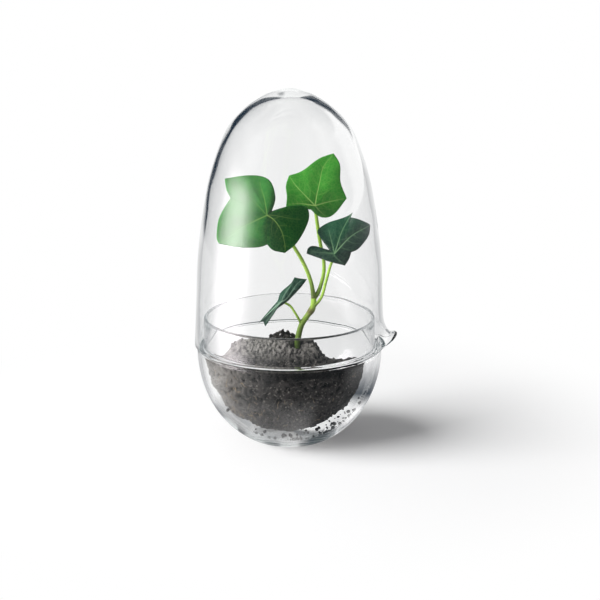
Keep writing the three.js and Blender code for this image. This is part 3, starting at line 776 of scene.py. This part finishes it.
def soil_grid():
    """The root ball as rows of points, from its underside up its flank and over the top, and its normals."""
    angles = all_round(SOIL_COLUMNS)
    depth = soil_widest - soil_bottom
    rim = turned(soil_radius, angles, 0) + soil_heart
    edge_height = settled_top(rim[:, 0], rim[:, 1]) - SOIL_SLUMP
    edge_share = np.arcsin(((soil_widest - edge_height) / depth) ** (BOWL_ROUNDNESS / 2)) / (math.pi / 2)
    share = 1 - np.linspace(SOIL_FIRST_SHARE, 1, SOIL_FLANK_ROWS)[:, None] * (1 - edge_share)
    outline = bowl_curve(soil_radius, soil_widest, depth, share)
    flank = turned(outline[..., 0], angles, outline[..., 1]) + (SOIL_SHIFT, 0, 0)
    flank += unit(soil_heart - flank) * crease_depth(flank)[..., None]
    ring = np.linspace(*SOIL_TOP_SHARES, SOIL_TOP_ROWS)[:, None, None]
    top = soil_heart + ring * (flank[-1] - soil_heart)
    top[..., 2] = settled_top(top[..., 0], top[..., 1])
    top[..., 2] -= crease_depth(top)
    settled = smoothstep(1, SOIL_RIM_SHARE, ring[..., 0])
    top[..., 2] = flank[-1, :, 2] + settled * (top[..., 2] - flank[-1, :, 2])
    grid = np.concatenate([flank, top])
    around = np.roll(grid, -1, axis=1) - np.roll(grid, 1, axis=1)
    return grid, unit(np.cross(around, np.gradient(grid, axis=0)))


def crumbled(grid, normals):
    """Crumbs and grit with creases between them, and how high each place stands in them, about -1 to 1."""
    relief = sum(
        height * (1 - CREASE_SHARPNESS * np.abs(fractal(grid, spacing))) for spacing, height in CRUMBLE_SIZES
    )
    highest = sum(height for _, height in CRUMBLE_SIZES)
    return grid + normals * (relief - highest / 2)[..., None], relief / highest


def dryness(points):
    """How dried the soil is drawn: most at the top, where the air reaches, and paler to the left with painted
    light from the lamp's side.
    """
    across = points[..., 0]
    leftward = HALF_DRY + (1 - HALF_DRY) * smoothstep(*LIT_TOP_PLACES, across)
    top = smoothstep(*DRY_HEIGHTS, points[..., 2]) * leftward
    return np.maximum(top, HALF_DRY * smoothstep(*LIT_FLANK_PLACES, across))


def wetness(points):
    """Painted shade where the soil's edge leans away from the glass under the ledge, to the right of the
    middle.
    """
    outward = np.hypot(points[..., 0] - SOIL_SHIFT, points[..., 1]) / soil_radius
    under_ledge = smoothstep(*LEDGE_SHADE_HEIGHTS, points[..., 2])
    return LEDGE_SHADE_STRENGTH * under_ledge * smoothstep(*LEDGE_SHADE_OUTWARD, outward) * smoothstep(*LEDGE_SHADE_PLACES, points[..., 0])


def grain_kind(seed):
    """An irregular grain with a radius of about 1."""
    bpy.ops.mesh.primitive_ico_sphere_add(subdivisions=2, radius=1)
    ball = bpy.context.object
    points = np.array([vertex.co for vertex in ball.data.vertices])
    faces = [list(face.vertices) for face in ball.data.polygons]
    bpy.data.objects.remove(ball)
    dents = 1 + GRAIN_DENT * fractal(points + GRAIN_DENT_SHIFT * seed, GRAIN_DENT_SPACING)
    return points * dents[:, None], faces


def random_turn():
    axis = unit(rng.normal(size=3))
    angle = rng.uniform(0, 2 * math.pi)
    cross = np.array([[0, -axis[2], axis[1]], [axis[2], 0, -axis[0]], [-axis[1], axis[0], 0]])
    return np.eye(3) + math.sin(angle) * cross + (1 - math.cos(angle)) * cross @ cross


def scattered(places, radii, grains):
    """Grains of the given radii, squashed and turned at random, at the places."""
    shapes = []
    for place, radius in zip(places, radii):
        points, faces = grains[rng.integers(len(grains))]
        stretch = np.array([1, rng.uniform(GRAIN_SQUASH, 1), rng.uniform(GRAIN_SQUASH, 1)])
        shapes.append((place + (points * stretch * radius) @ random_turn().T, faces))
    return merged(shapes)


def strewn(soil, normals, count, smallest, largest, sunk, first_row, crowding):
    """Places and radii of grains strewn over the soil."""
    rows = rng.integers(first_row, len(soil) - LAST_ROWS, count)
    columns = rng.integers(0, SOIL_COLUMNS, count)
    radii = smallest + (largest - smallest) * rng.random(count) ** crowding
    return soil[rows, columns] - normals[rows, columns] * (sunk * radii)[:, None], radii


def fibre(soil, normals, length, radius, row, column):
    """A root fibre that wanders over the soil from a row and column of its points."""
    step = length / FIBRE_STEPS / SOIL_POINT_SPACING
    heading = rng.uniform(0, 2 * math.pi)
    path = []
    for _ in range(FIBRE_STEPS):
        near = int(np.clip(row, 0, len(soil) - 1)), int(column) % SOIL_COLUMNS
        path.append(soil[near] + radius * normals[near])
        heading += rng.normal(0, FIBRE_WANDER)
        row += step * math.sin(heading)
        column += step * math.cos(heading)
    kernel = np.ones(FIBRE_SMOOTHING) / FIBRE_SMOOTHING
    smooth = np.stack([np.convolve(axis, kernel, "valid") for axis in np.transpose(path)], axis=-1)
    return tube(smooth, np.full(len(smooth), radius), FIBRE_SIDES)


# Plant

def centripetal(points):
    """Evenly spaced points along a smooth path through points that doesn't overshoot where they lie close."""
    points = np.asarray(points, float)
    padded = np.concatenate([[2 * points[0] - points[1]], points, [2 * points[-1] - points[-2]]])
    gap = np.sqrt(np.linalg.norm(np.diff(padded, axis=0), axis=1))[:, None]
    slope = np.diff(padded, axis=0) / gap
    chord = (padded[2:] - padded[:-2]) / (gap[1:] + gap[:-1])
    tangent = slope[:-1] - chord + slope[1:]
    span = gap[1:-1]
    share = np.linspace(0, 1, PATH_STEPS, endpoint=False)[:, None, None]
    fine = between(points[:-1], points[1:], tangent[:-1] * span, tangent[1:] * span, share)
    fine = np.concatenate([fine.swapaxes(0, 1).reshape(-1, 3), points[-1:]])
    length = np.concatenate([[0], np.cumsum(np.linalg.norm(np.diff(fine, axis=0), axis=1))])
    at = np.linspace(0, length[-1], TUBE_STEPS)
    return np.stack([np.interp(at, length, fine[:, axis]) for axis in range(3)], axis=-1)


def tube(path, radii, sides=TUBE_SIDES):
    """A round tube along a path, with a radius at each of its points."""
    along = unit(np.gradient(path, axis=0))
    side = unit(np.cross(along[0], SIDEWAYS))
    angles = all_round(sides)[:, None]
    rings = []
    for centre, forward, radius in zip(path, along, radii):
        side = unit(side - forward * (side @ forward))
        other = np.cross(forward, side)
        rings.append(centre + radius * (side * np.cos(angles) + other * np.sin(angles)))
    return skin(path[0], rings, path[-1])


def along_tube(values):
    """Numbers for a tube's points from one number for each step along it."""
    return np.concatenate([[values[0]], np.repeat(values, TUBE_SIDES), [values[-1]]])


def joint(share, place, span, height):
    return height * np.exp(-(((share - place) / span) ** 2))


def grown(point):
    return np.array([point[0], point[1], PLANT_BASE + point[2]], float)


def vein_lines(leaf):
    """Each vein of a leaf as strength, width and points: the main ones, and the finer ones off them."""
    for strength, path in leaf["veins"]:
        main = spline([leaf["hub"]] + path, np.linspace(0, 1, VEIN_STEPS))
        yield strength, VEIN_WIDTH, main
        along = np.gradient(main, axis=0)
        length = np.linalg.norm(along, axis=1).sum()
        for place in SIDE_VEIN_PLACES:
            at = int(place * VEIN_STEPS)
            ahead = unit(along[at])
            for side in (-1, 1):
                aside = side * np.array((-ahead[1], ahead[0]))
                heading = math.cos(SIDE_VEIN_TURN) * ahead + math.sin(SIDE_VEIN_TURN) * aside
                reach = SIDE_VEIN_REACH * length * (1 - place)
                middle = main[at] + reach / 2 * unit(heading + SIDE_VEIN_BOW * aside)
                end = main[at] + reach * heading
                points = spline([main[at], middle, end], np.linspace(0, 1, SIDE_VEIN_STEPS))
                yield SIDE_VEIN_STRENGTH * strength, SIDE_VEIN_WIDTH, points


def near_veins(leaf, across, up):
    """How strongly a vein shows at each place, and how far away the nearest main one is."""
    shown = np.zeros(np.shape(across))
    nearest = np.full(np.shape(across), np.inf)
    for strength, width, points in vein_lines(leaf):
        for index, (start, end) in enumerate(zip(points[:-1], points[1:])):
            step = end - start
            share = ((across - start[0]) * step[0] + (up - start[1]) * step[1]) / (step @ step)
            share = np.clip(share, 0, 1)
            away = np.hypot(across - start[0] - share * step[0], up - start[1] - share * step[1])
            run = (index + share) / (len(points) - 1)
            half_width = width * (1 - VEIN_TAPER * run) / 2
            fading = strength * (1 - VEIN_FADE * run)
            shown = np.maximum(shown, fading * np.exp(-((away / half_width) ** 2)))
            if width == VEIN_WIDTH:
                nearest = np.minimum(nearest, away)
    return shown, nearest


def leaf_fold(leaf, across, up):
    """How far the folded wedge of a leaf lies behind the rest, and how far a place is inside that wedge,
    which sets the painted shade on it.
    """
    start, end, slope, _ = leaf["fold"]
    run_out, rise = across - leaf["hub"][0], up - leaf["hub"][1]
    middle = (start + end) / 2
    turn = (np.degrees(np.arctan2(rise, run_out)) - middle + 180) % 360 - 180
    inside = (end - start) / 2 - np.abs(turn)
    distance = np.hypot(run_out, rise)
    back = slope * distance * smoothstep(-FOLD_SOFTNESS, FOLD_BENT, inside)
    return back, smoothstep(-FOLD_SOFTNESS, FOLD_SHADED, inside) * smoothstep(0, FOLD_HUB, distance)


def leaf_depth(leaf, across, up, share, relief):
    base, lean = leaf["base"], leaf["lean"]
    back, _ = leaf_fold(leaf, across, up)
    return base[1] + lean[0] * across + lean[1] * up + LEAF_CUP * share ** 2 + back - relief


def hub_place(leaf, side):
    """The place of a leaf's hub on its back, at side 1, or on its front, at side -1."""
    hub = leaf["hub"]
    depth = leaf_depth(leaf, *hub, 0, -VEIN_DEPTH) + side * LEAF_THICKNESS / 2
    return np.array([leaf["base"][0] + hub[0], depth, PLANT_BASE + leaf["base"][2] + hub[1]])


def leaf_shape(leaf):
    """Blade with swelling cells and sunk veins, front and back, and its vein and front numbers and its
    painted shade.
    """
    outline = []
    corner = leaf["outline"][-1][-1]
    for run in leaf["outline"]:
        points = [corner, *run]
        length = np.linalg.norm(np.diff(points, axis=0), axis=1).sum()
        steps = max(3, int(length / LEAF_EDGE_STEP))
        outline.append(spline(points, np.linspace(0, 1, steps, endpoint=False)))
        corner = run[-1]
    outline = np.concatenate(outline)
    hub = leaf["hub"]
    share = np.linspace(1 / LEAF_RINGS, 1, LEAF_RINGS)[:, None]
    across, up = (hub[axis] + share * (outline[:, axis] - hub[axis]) for axis in (0, 1))
    vein, away = near_veins(leaf, across, up)
    relief = PILLOW_HEIGHT * (1 - np.exp(-((away / PILLOW_SPAN) ** 2))) - VEIN_DEPTH * vein
    depth = leaf_depth(leaf, across, up, share, relief)
    fullness = np.sqrt(1 - share ** LEAF_FULLNESS)
    half = (LEAF_EDGE_THICKNESS + (LEAF_THICKNESS - LEAF_EDGE_THICKNESS) * fullness) / 2
    x, z = leaf["base"][0] + across, PLANT_BASE + leaf["base"][2] + up
    back = np.stack([x, depth + half, z], axis=-1)
    front = np.stack([x, depth - half, z], axis=-1)
    shape = skin(hub_place(leaf, 1), np.concatenate([back, front[::-1]]), hub_place(leaf, -1))
    from_hub = np.hypot(across - hub[0], up - hub[1])
    # painted shade: on the fold, which turns from the light, and near the hub
    folded = leaf["fold"][3] * leaf_fold(leaf, across, up)[1]
    painted_shade = np.minimum(1, folded + PAINTED_HUB_SHADE * np.exp(-((from_hub / HUB_SPAN) ** 2)))
    numbers = {
        "vein": np.concatenate([[1], vein.ravel(), vein[::-1].ravel(), [1]]),
        "front": np.concatenate([[0], np.zeros(vein.size), np.ones(vein.size), [1]]),
        "painted_shade": np.concatenate([[0], painted_shade.ravel(), painted_shade[::-1].ravel(), [0]]),
    }
    return shape, numbers


def stalk_points(leaf):
    lean = np.array([-leaf["lean"][0], 1, -leaf["lean"][1]])
    behind = hub_place(leaf, 1)
    bend = behind + STALK_BEND * unit(lean)
    return [grown(STEM_PATH[leaf["stalk_from"]]), *map(grown, leaf["stalk_path"]), bend, behind]


# The pieces

glass = clear_blown_glass()
soil_finish = damp_potting_soil()
shoot_finish = smooth_ivy_shoot()
# each leaf's colours: blade; darker green for its painted shade and mottles; veins; underside
leaf_finishes = {
    "left": waxy_ivy_leaf("ivy_leaf_green", "#3a943a", "#125a1c", "#a3cc66", "#8fb878"),
    "top": waxy_ivy_leaf("ivy_leaf_fresh", "#449c35", "#1f6618", "#b4d67a", "#8fb878"),
    "right": waxy_ivy_leaf("ivy_leaf_dark", "#2a5c42", "#122f25", "#86ae7e", "#7d9f7e"),
    "low": waxy_ivy_leaf("ivy_leaf_old", "#25573f", "#12372b", "#a3c6aa", "#7d9f7e"),
}

bowl = make_piece("blown_bowl", bowl_shape(), "bowl", "clear_glass", glass, ["glass_bowl"])
dome = make_piece("blown_dome", dome_shape(), "dome", "clear_glass", glass, ["glass_dome"])
for piece in (bowl, dome):
    piece.visible_shadow = False
    piece.visible_diffuse = False

grid, normals = soil_grid()
soil, relief = crumbled(grid, normals)
make_piece(
    "root_ball",
    skin(soil[0].mean(axis=0), soil, soil[-1].mean(axis=0)),
    "bowl", "potting_soil", soil_finish, ["potting_soil"],
    rise=np.concatenate([[0], relief.ravel(), [0]]),
    dry=np.concatenate([[0], dryness(soil).ravel(), [1]]),
    wet=np.concatenate([[0], wetness(soil).ravel(), [0]]),
)

grains = [grain_kind(seed) for seed in range(GRAIN_KINDS)]
soil_grains = scattered(*strewn(soil, normals, **SOIL_GRAINS), grains)
make_piece(
    "soil_grains", soil_grains, "bowl", "potting_soil", soil_finish,
    rise=np.full(len(soil_grains[0]), GRAIN_RISE), dry=dryness(soil_grains[0]), wet=wetness(soil_grains[0]),
)
mound_crumbs = scattered(*strewn(soil, normals, **MOUND_CRUMBS), grains)
make_piece(
    "mound_crumbs", mound_crumbs, "bowl", "potting_soil", soil_finish,
    rise=np.full(len(mound_crumbs[0]), GRAIN_RISE), dry=dryness(mound_crumbs[0]),
)
make_piece(
    "bark_grit", scattered(*strewn(soil, normals, **BARK_GRIT), grains),
    "bowl", "potting_soil", dry_fibre("weathered_bark_grit", "#98938c", "#5a554f"),
)

fibres = []
for index in range(FRONT_FIBRES + OTHER_FIBRES):
    length, radius, row = (rng.uniform(*span) for span in (FIBRE_LENGTHS, FIBRE_RADII, FIBRE_ROWS))
    column = rng.normal(*FRONT_COLUMNS) if index < FRONT_FIBRES else rng.uniform(0, SOIL_COLUMNS)
    fibres.append(fibre(soil, normals, length, radius, row, column))
make_piece(
    "root_fibres", merged(fibres), "bowl", "potting_soil", dry_fibre("dead_root_fibre", "#b3a081", "#6b5a45"),
)

on_glass = cavity_curve(rng.uniform(*SPECK_SHARES, SPECK_COUNT))
speck_radii = SPECK_RADIUS + SPECK_GROWTH * rng.random(SPECK_COUNT) ** 2
speck_turns = np.radians(rng.normal(*SPECK_TURN, SPECK_COUNT))
specks = turned(
    on_glass[:, 0] - SPECK_INSET * speck_radii, speck_turns, on_glass[:, 1] + SPECK_LIFT * speck_radii,
)
make_piece("glass_specks", scattered(specks, speck_radii, grains), "bowl", "potting_soil", soil_finish)

for number in range(1, CRUMB_COUNT + 1):
    node = f"soil_crumb_{number}"
    low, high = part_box(node)
    centre = np.array((low + high) / 2) / MM
    outward = unit(rng.normal(size=(CRUMB_GRAINS, 3)))
    places = centre + outward * CRUMB_RADIUS * rng.uniform(*CRUMB_GRAIN_PLACES, (CRUMB_GRAINS, 1))
    crumb = scattered(places, rng.uniform(*CRUMB_GRAIN_RADII, CRUMB_GRAINS), grains)
    make_piece(
        f"loose_crumb_{number}", crumb, "bowl", "potting_soil", soil_finish, [node],
        rise=np.full(len(crumb[0]), GRAIN_RISE),
    )

tube_share = np.linspace(0, 1, TUBE_STEPS)
planted = (STEM_PATH[0][0], STEM_PATH[0][1], -PLANTING_DEPTH)
stem = centripetal([grown(point) for point in (planted, *STEM_PATH)])
stem_taper = (STEM_TOP_RADIUS - STEM_BASE_RADIUS) * tube_share
stem_radii = STEM_BASE_RADIUS + stem_taper + joint(tube_share, *STEM_SWELLING)
make_piece(
    "ivy_stem", tube(stem, stem_radii), "bowl", "ivy_stem", shoot_finish, ["main_stem"],
    woody=along_tube(smoothstep(*STEM_WOODY, tube_share)),
    joint=along_tube(joint(tube_share, *STEM_STAIN)),
)
for name, leaf in LEAVES.items():
    swelling, stain = (height * np.exp(-tube_share / span) for span, height in (STALK_SWELLING, STALK_STAIN))
    radii = leaf["stalk_radius"] * (1 + swelling - STALK_TAPER * tube_share)
    make_piece(
        f"ivy_stalk_{name}", tube(centripetal(stalk_points(leaf)), radii), "bowl", "ivy_stem", shoot_finish,
        [f"leaf_stalk_{name}"],
        woody=along_tube(smoothstep(*STALK_WOODY, tube_share)),
        joint=along_tube(stain),
    )
    shape, numbers = leaf_shape(leaf)
    slot = "ivy_leaf_green" if name in ("left", "top") else "ivy_leaf_dark"
    make_piece(f"ivy_leaf_{name}", shape, "bowl", slot, leaf_finishes[name], [f"leaf_{name}"], **numbers)


# Floor, light and camera

def bearings(tree, direction):
    """The parts of a direction, and its turn to the right of straight back, in degrees."""
    parts = add_node(tree, "SeparateXYZ", {0: direction}).outputs
    turn = add_node(tree, "Math", {0: parts["X"], 1: parts["Y"]}, operation="ARCTAN2")
    return parts, add_node(tree, "Math", {0: turn}, operation="DEGREES")


def dim_room(tree, direction, lamp_radiance):
    """What glass mirrors beyond the paper, by direction from the part: a dark room, greyer on the camera's
    side and pale to its left, where a soft lamp stands."""
    path = add_node(tree, "LightPath").outputs
    toward_camera = add_node(tree, "VectorMath", {0: direction, 1: (-1, -1, 1)}, operation="MULTIPLY")
    parts, turn = bearings(tree, toward_camera)
    # what is read, where its share is none and where full, the full share, and how it grows; the turn here
    # is to the left of the camera
    ranges = {
        "lamp_start": (turn, 37, 67, 1, PLAIN),
        "lamp_end": (turn, 114, 72, 1, SMOOTH),
        "lamp_top": (parts["Z"], 0.34, 0.12, 1, SMOOTH),
        "camera_side": (parts["Y"], 0, 0.6, 1, PLAIN),
        "wall_start": (turn, 5, 50, 1, PLAIN),
        "wall_end": (turn, 95, 75, 1, PLAIN),
    }
    share = {
        name: add_node(
            tree, "MapRange", {"Value": value, "From Min": none, "From Max": full, "To Max": most},
            interpolation_type=growth,
        )
        for name, (value, none, full, most, growth) in ranges.items()
    }
    lamp = add_node(tree, "Math", {0: share["lamp_start"], 1: MIRRORED_LAMP_FADE}, operation="POWER")
    near_side = add_node(tree, "Math", {0: path["Transmission Depth"], 1: MOST_FACES}, operation="LESS_THAN")
    for part in (share["lamp_end"], share["lamp_top"], near_side):
        lamp = add_node(tree, "Math", {0: lamp, 1: part}, operation="MULTIPLY")
    pale_wall = add_node(tree, "Math", {0: share["wall_start"], 1: share["wall_end"]}, operation="MULTIPLY")
    glow = add_node(tree, "VectorMath", {0: MIRRORED_LAMP_TINT, 3: lamp_radiance}, operation="SCALE")
    room = linear("#22303d")
    for part, colour in (
        (share["camera_side"], linear("#3a4248")), (pale_wall, linear("#b4b8ba")), (lamp, glow),
    ):
        room = add_node(tree, "Mix", {0: part, 6: room, 7: colour}, data_type="RGBA")
    return room


def white_floor():
    """Smooth white paper: matt, with the part's shadow on it, and plain white further off, to the eye and
    through glass. Past its sides and front glass mirrors the dim room, which also paints shadow and shade on
    the paper in glass; there painted light also brightens the paper under the bowl."""
    material, tree, shader = new_material("white_paper_floor", Base_Color=linear("#f2f2f2"), Roughness=0.9)
    path = add_node(tree, "LightPath").outputs
    place = add_node(tree, "NewGeometry").outputs["Position"]
    away = add_node(tree, "VectorMath", {0: place}, operation="LENGTH")
    direction = add_node(tree, "VectorMath", {0: place}, operation="NORMALIZE")
    parts, turn = bearings(tree, direction)
    aside = add_node(tree, "Math", {0: parts["X"]}, operation="ABSOLUTE")
    # what is read, where its share is none and where full, the full share, and how it grows
    ranges = {
        "far": (away, 0.1, 0.24, 1, SMOOTH),
        # painted light under the bowl, for light that it would gather there, and painted shade and shadow, in
        # glass
        "under": (away, 0.085, 0.055, 1, PLAIN),
        "under_back": (parts["Y"], -0.65, -0.1, 1, PLAIN),
        "under_right": (parts["X"], -0.05, 0.5, 0.85, PLAIN),
        "under_left": (parts["X"], 0.1, -0.4, 1, PLAIN),
        "under_dark": (away, 0.088, 0.06, 0.55, PLAIN),
        "shadow_side": (parts["X"], 0.25, 0.5, 0.9, PLAIN),
        "shadow_near": (away, 0.22, 0.085, 1, PLAIN),
        # past the paper's left, both its sides and its front, and a strip beside the part on its left
        "left": (turn, *SHEET_LEFT_END, 1, SMOOTH),
        "left_far": (away, 0.5, 1, 1, SMOOTH),
        "sides": (aside, 0.1, 1, 0.8, PLAIN),
        "sides_far": (away, 0.12, 0.3, 1, SMOOTH),
        "front": (parts["Y"], -0.05, -0.5, 0.94, PLAIN),
        "front_far": (away, 0.045, 0.1, 1, SMOOTH),
        "strip_start": (turn, -2, -20, 0.45, PLAIN),
        "strip_end": (turn, -90, -55, 1, PLAIN),
        "strip_near": (away, 0.3, 0.2, 1, PLAIN),
        # the lamp's radiance, which begins some way off
        "lamp": (away, 0.2, 0.5, MIRRORED_LAMP, PLAIN),
    }
    share = {
        name: add_node(
            tree, "MapRange", {"Value": value, "From Min": none, "From Max": full, "To Max": most},
            interpolation_type=growth,
        )
        for name, (value, none, full, most, growth) in ranges.items()
    }
    products = {
        "painted_glow": ("under", "under_back"),
        "painted_glow_right": ("painted_glow", "under_right"),
        "under_shade": ("under_left", "under_dark"),
        "shadow": ("shadow_side", "shadow_near"),
        "past_left": ("left", "left_far"),
        "past_sides": ("sides", "sides_far"),
        "past_front": ("front", "front_far"),
        "strip": ("strip_start", "strip_end"),
        "strip_beside": ("strip", "strip_near"),
    }
    for name, (first, second) in products.items():
        share[name] = add_node(tree, "Math", {0: share[first], 1: share[second]}, operation="MULTIPLY")

    in_glass = path["Is Glossy Ray"]
    seen = add_node(tree, "Math", {0: path["Is Camera Ray"], 1: in_glass}, operation="MAXIMUM")
    # painted light: in glass, the paper under the bowl's back right glows
    brighter = add_node(tree, "Math", {0: share["painted_glow_right"], 1: in_glass}, operation="MULTIPLY")
    lift = add_node(tree, "Math", {0: seen, 1: PAPER_LIFT, 2: brighter}, operation="MULTIPLY_ADD")
    near = add_node(tree, "AddShader", {0: shader, 1: add_node(tree, "Emission", {"Strength": lift})})
    far_seen = add_node(tree, "Math", {0: seen, 1: share["far"]}, operation="MULTIPLY")
    paper = add_node(tree, "MixShader", {0: far_seen, 1: near, 2: add_node(tree, "Emission")})

    edges = share["past_left"]
    for name in ("past_sides", "past_front", "strip_beside"):
        edges = add_node(tree, "Math", {0: edges, 1: share[name]}, operation="MAXIMUM")
    mirrored = add_node(tree, "Math", {0: path["Glossy Depth"], 1: 0.5}, operation="GREATER_THAN")
    mirrored_edges = add_node(tree, "Math", {0: edges, 1: mirrored}, operation="MULTIPLY")
    # painted shadow in glass, kept off the painted glow
    shadow = add_node(
        tree, "Math", {0: share["shadow"], 1: share["painted_glow"]}, operation="SUBTRACT", use_clamp=True,
    )
    off_paper = mirrored_edges
    for part in (shadow, share["under_shade"]):
        off_paper = add_node(tree, "Math", {0: off_paper, 1: part}, operation="MAXIMUM")
    beyond = add_node(tree, "Math", {0: in_glass, 1: off_paper}, operation="MULTIPLY")
    room = add_node(tree, "Emission", {"Color": dim_room(tree, direction, share["lamp"])})
    mixed = add_node(tree, "MixShader", {0: beyond, 1: paper, 2: room})
    tree.links.new(mixed.outputs["Shader"], tree.nodes["Material Output"].inputs["Surface"])
    return material


def studio_world():
    """White to the eye and straight through glass, the dim room where glass mirrors past the white sheet
    and the bright window behind the part, and a soft even fill for the rest."""
    world = bpy.data.worlds.new("studio")
    world.use_nodes = True
    tree = world.node_tree
    path = add_node(tree, "LightPath").outputs
    direction = add_node(tree, "TexCoord").outputs["Generated"]
    parts, turn = bearings(tree, direction)
    aside = add_node(tree, "Math", {0: parts["X"]}, operation="ABSOLUTE")
    # what is read, where its share is none and where full, and how it grows
    ranges = {
        "off_middle": (aside, 0.1, 0.17, SMOOTH),
        "high": (parts["Z"], 0.02, 0.06, SMOOTH),
        "window_start": (turn, 24, 31, SMOOTH),
        "window_end": (turn, 85, 70, SMOOTH),
        "overhead": (parts["Z"], 0.5, 0.6, SMOOTH),
        "forward": (parts["Y"], 0.1, -0.1, PLAIN),
        "left": (turn, *SHEET_LEFT_END, SMOOTH),
    }
    share = {
        name: add_node(
            tree, "MapRange", {"Value": value, "From Min": none, "From Max": full}, interpolation_type=growth,
        )
        for name, (value, none, full, growth) in ranges.items()
    }
    above = add_node(tree, "Math", {0: share["off_middle"], 1: share["high"]}, operation="MULTIPLY")
    window = add_node(tree, "Math", {0: share["window_start"], 1: share["window_end"]}, operation="MULTIPLY")
    off_sheet = add_node(tree, "Math", {0: above, 1: window}, operation="SUBTRACT", use_clamp=True)
    for name in ("overhead", "forward", "left"):
        off_sheet = add_node(tree, "Math", {0: off_sheet, 1: share[name]}, operation="MAXIMUM")
    mirrored = add_node(tree, "Math", {0: path["Glossy Depth"], 1: 0.5}, operation="GREATER_THAN")
    in_room = add_node(tree, "Math", {0: off_sheet, 1: mirrored}, operation="MULTIPLY")
    white = linear("#ffffff")
    room = dim_room(tree, direction, MIRRORED_LAMP)
    in_glass = add_node(tree, "Mix", {0: in_room, 6: white, 7: room}, data_type="RGBA")
    fill = add_node(
        tree, "Mix", {0: path["Is Glossy Ray"], 6: FILL_LIGHT, 7: in_glass}, data_type="RGBA",
    )
    seen = add_node(tree, "Mix", {0: path["Is Camera Ray"], 6: fill, 7: white}, data_type="RGBA")
    tree.links.new(seen.outputs[2], tree.nodes["Background"].inputs["Color"])
    world.cycles.sampling_method = "NONE"
    return world


def aim(thing, target):
    thing.rotation_euler = (Vector(target) - thing.location).to_track_quat("-Z", "Y").to_euler()


def at_angle(target, distance, left, elevation):
    """A place at a distance from target, turned left of the camera's side and up."""
    left, elevation = math.radians(left), math.radians(elevation)
    flat = distance * math.cos(elevation)
    offset = Vector((-flat * math.sin(left), -flat * math.cos(left), distance * math.sin(elevation)))
    return Vector(target) + offset


bpy.ops.mesh.primitive_plane_add(size=FLOOR_SIZE, location=(0, 0, -FLOOR_DROP))
floor = bpy.context.object
floor.name = "floor"
floor.data.materials.append(white_floor())

scene = bpy.context.scene
scene.world = studio_world()
scene.view_settings.view_transform = "Standard"
scene.cycles.max_bounces = GLASS_BOUNCES
scene.cycles.transmission_bounces = GLASS_BOUNCES
scene.cycles.glossy_bounces = GLASS_BOUNCES

lamp = bpy.data.objects.new("soft_lamp", bpy.data.lights.new("soft_lamp", "AREA"))
scene.collection.objects.link(lamp)
lamp.data.shape = "RECTANGLE"
lamp.data.size, lamp.data.size_y = LAMP_WIDTH, LAMP_HEIGHT
lamp.data.energy = LAMP_RADIANCE * math.pi * LAMP_WIDTH * LAMP_HEIGHT
lamp.location = at_angle(LAMP_TARGET, LAMP_DISTANCE, LAMP_TURN, LAMP_ELEVATION)
aim(lamp, LAMP_TARGET)
lamp.visible_glossy = False
lamp.visible_transmission = False

camera = bpy.data.objects.new("camera", bpy.data.cameras.new("camera"))
scene.collection.objects.link(camera)
camera.data.lens = FOCAL_PIXELS / FRAME_PIXELS * camera.data.sensor_width
camera.location = at_angle(CAMERA_TARGET, CAMERA_DISTANCE, 0, CAMERA_ELEVATION)
aim(camera, CAMERA_TARGET)
scene.camera = camera
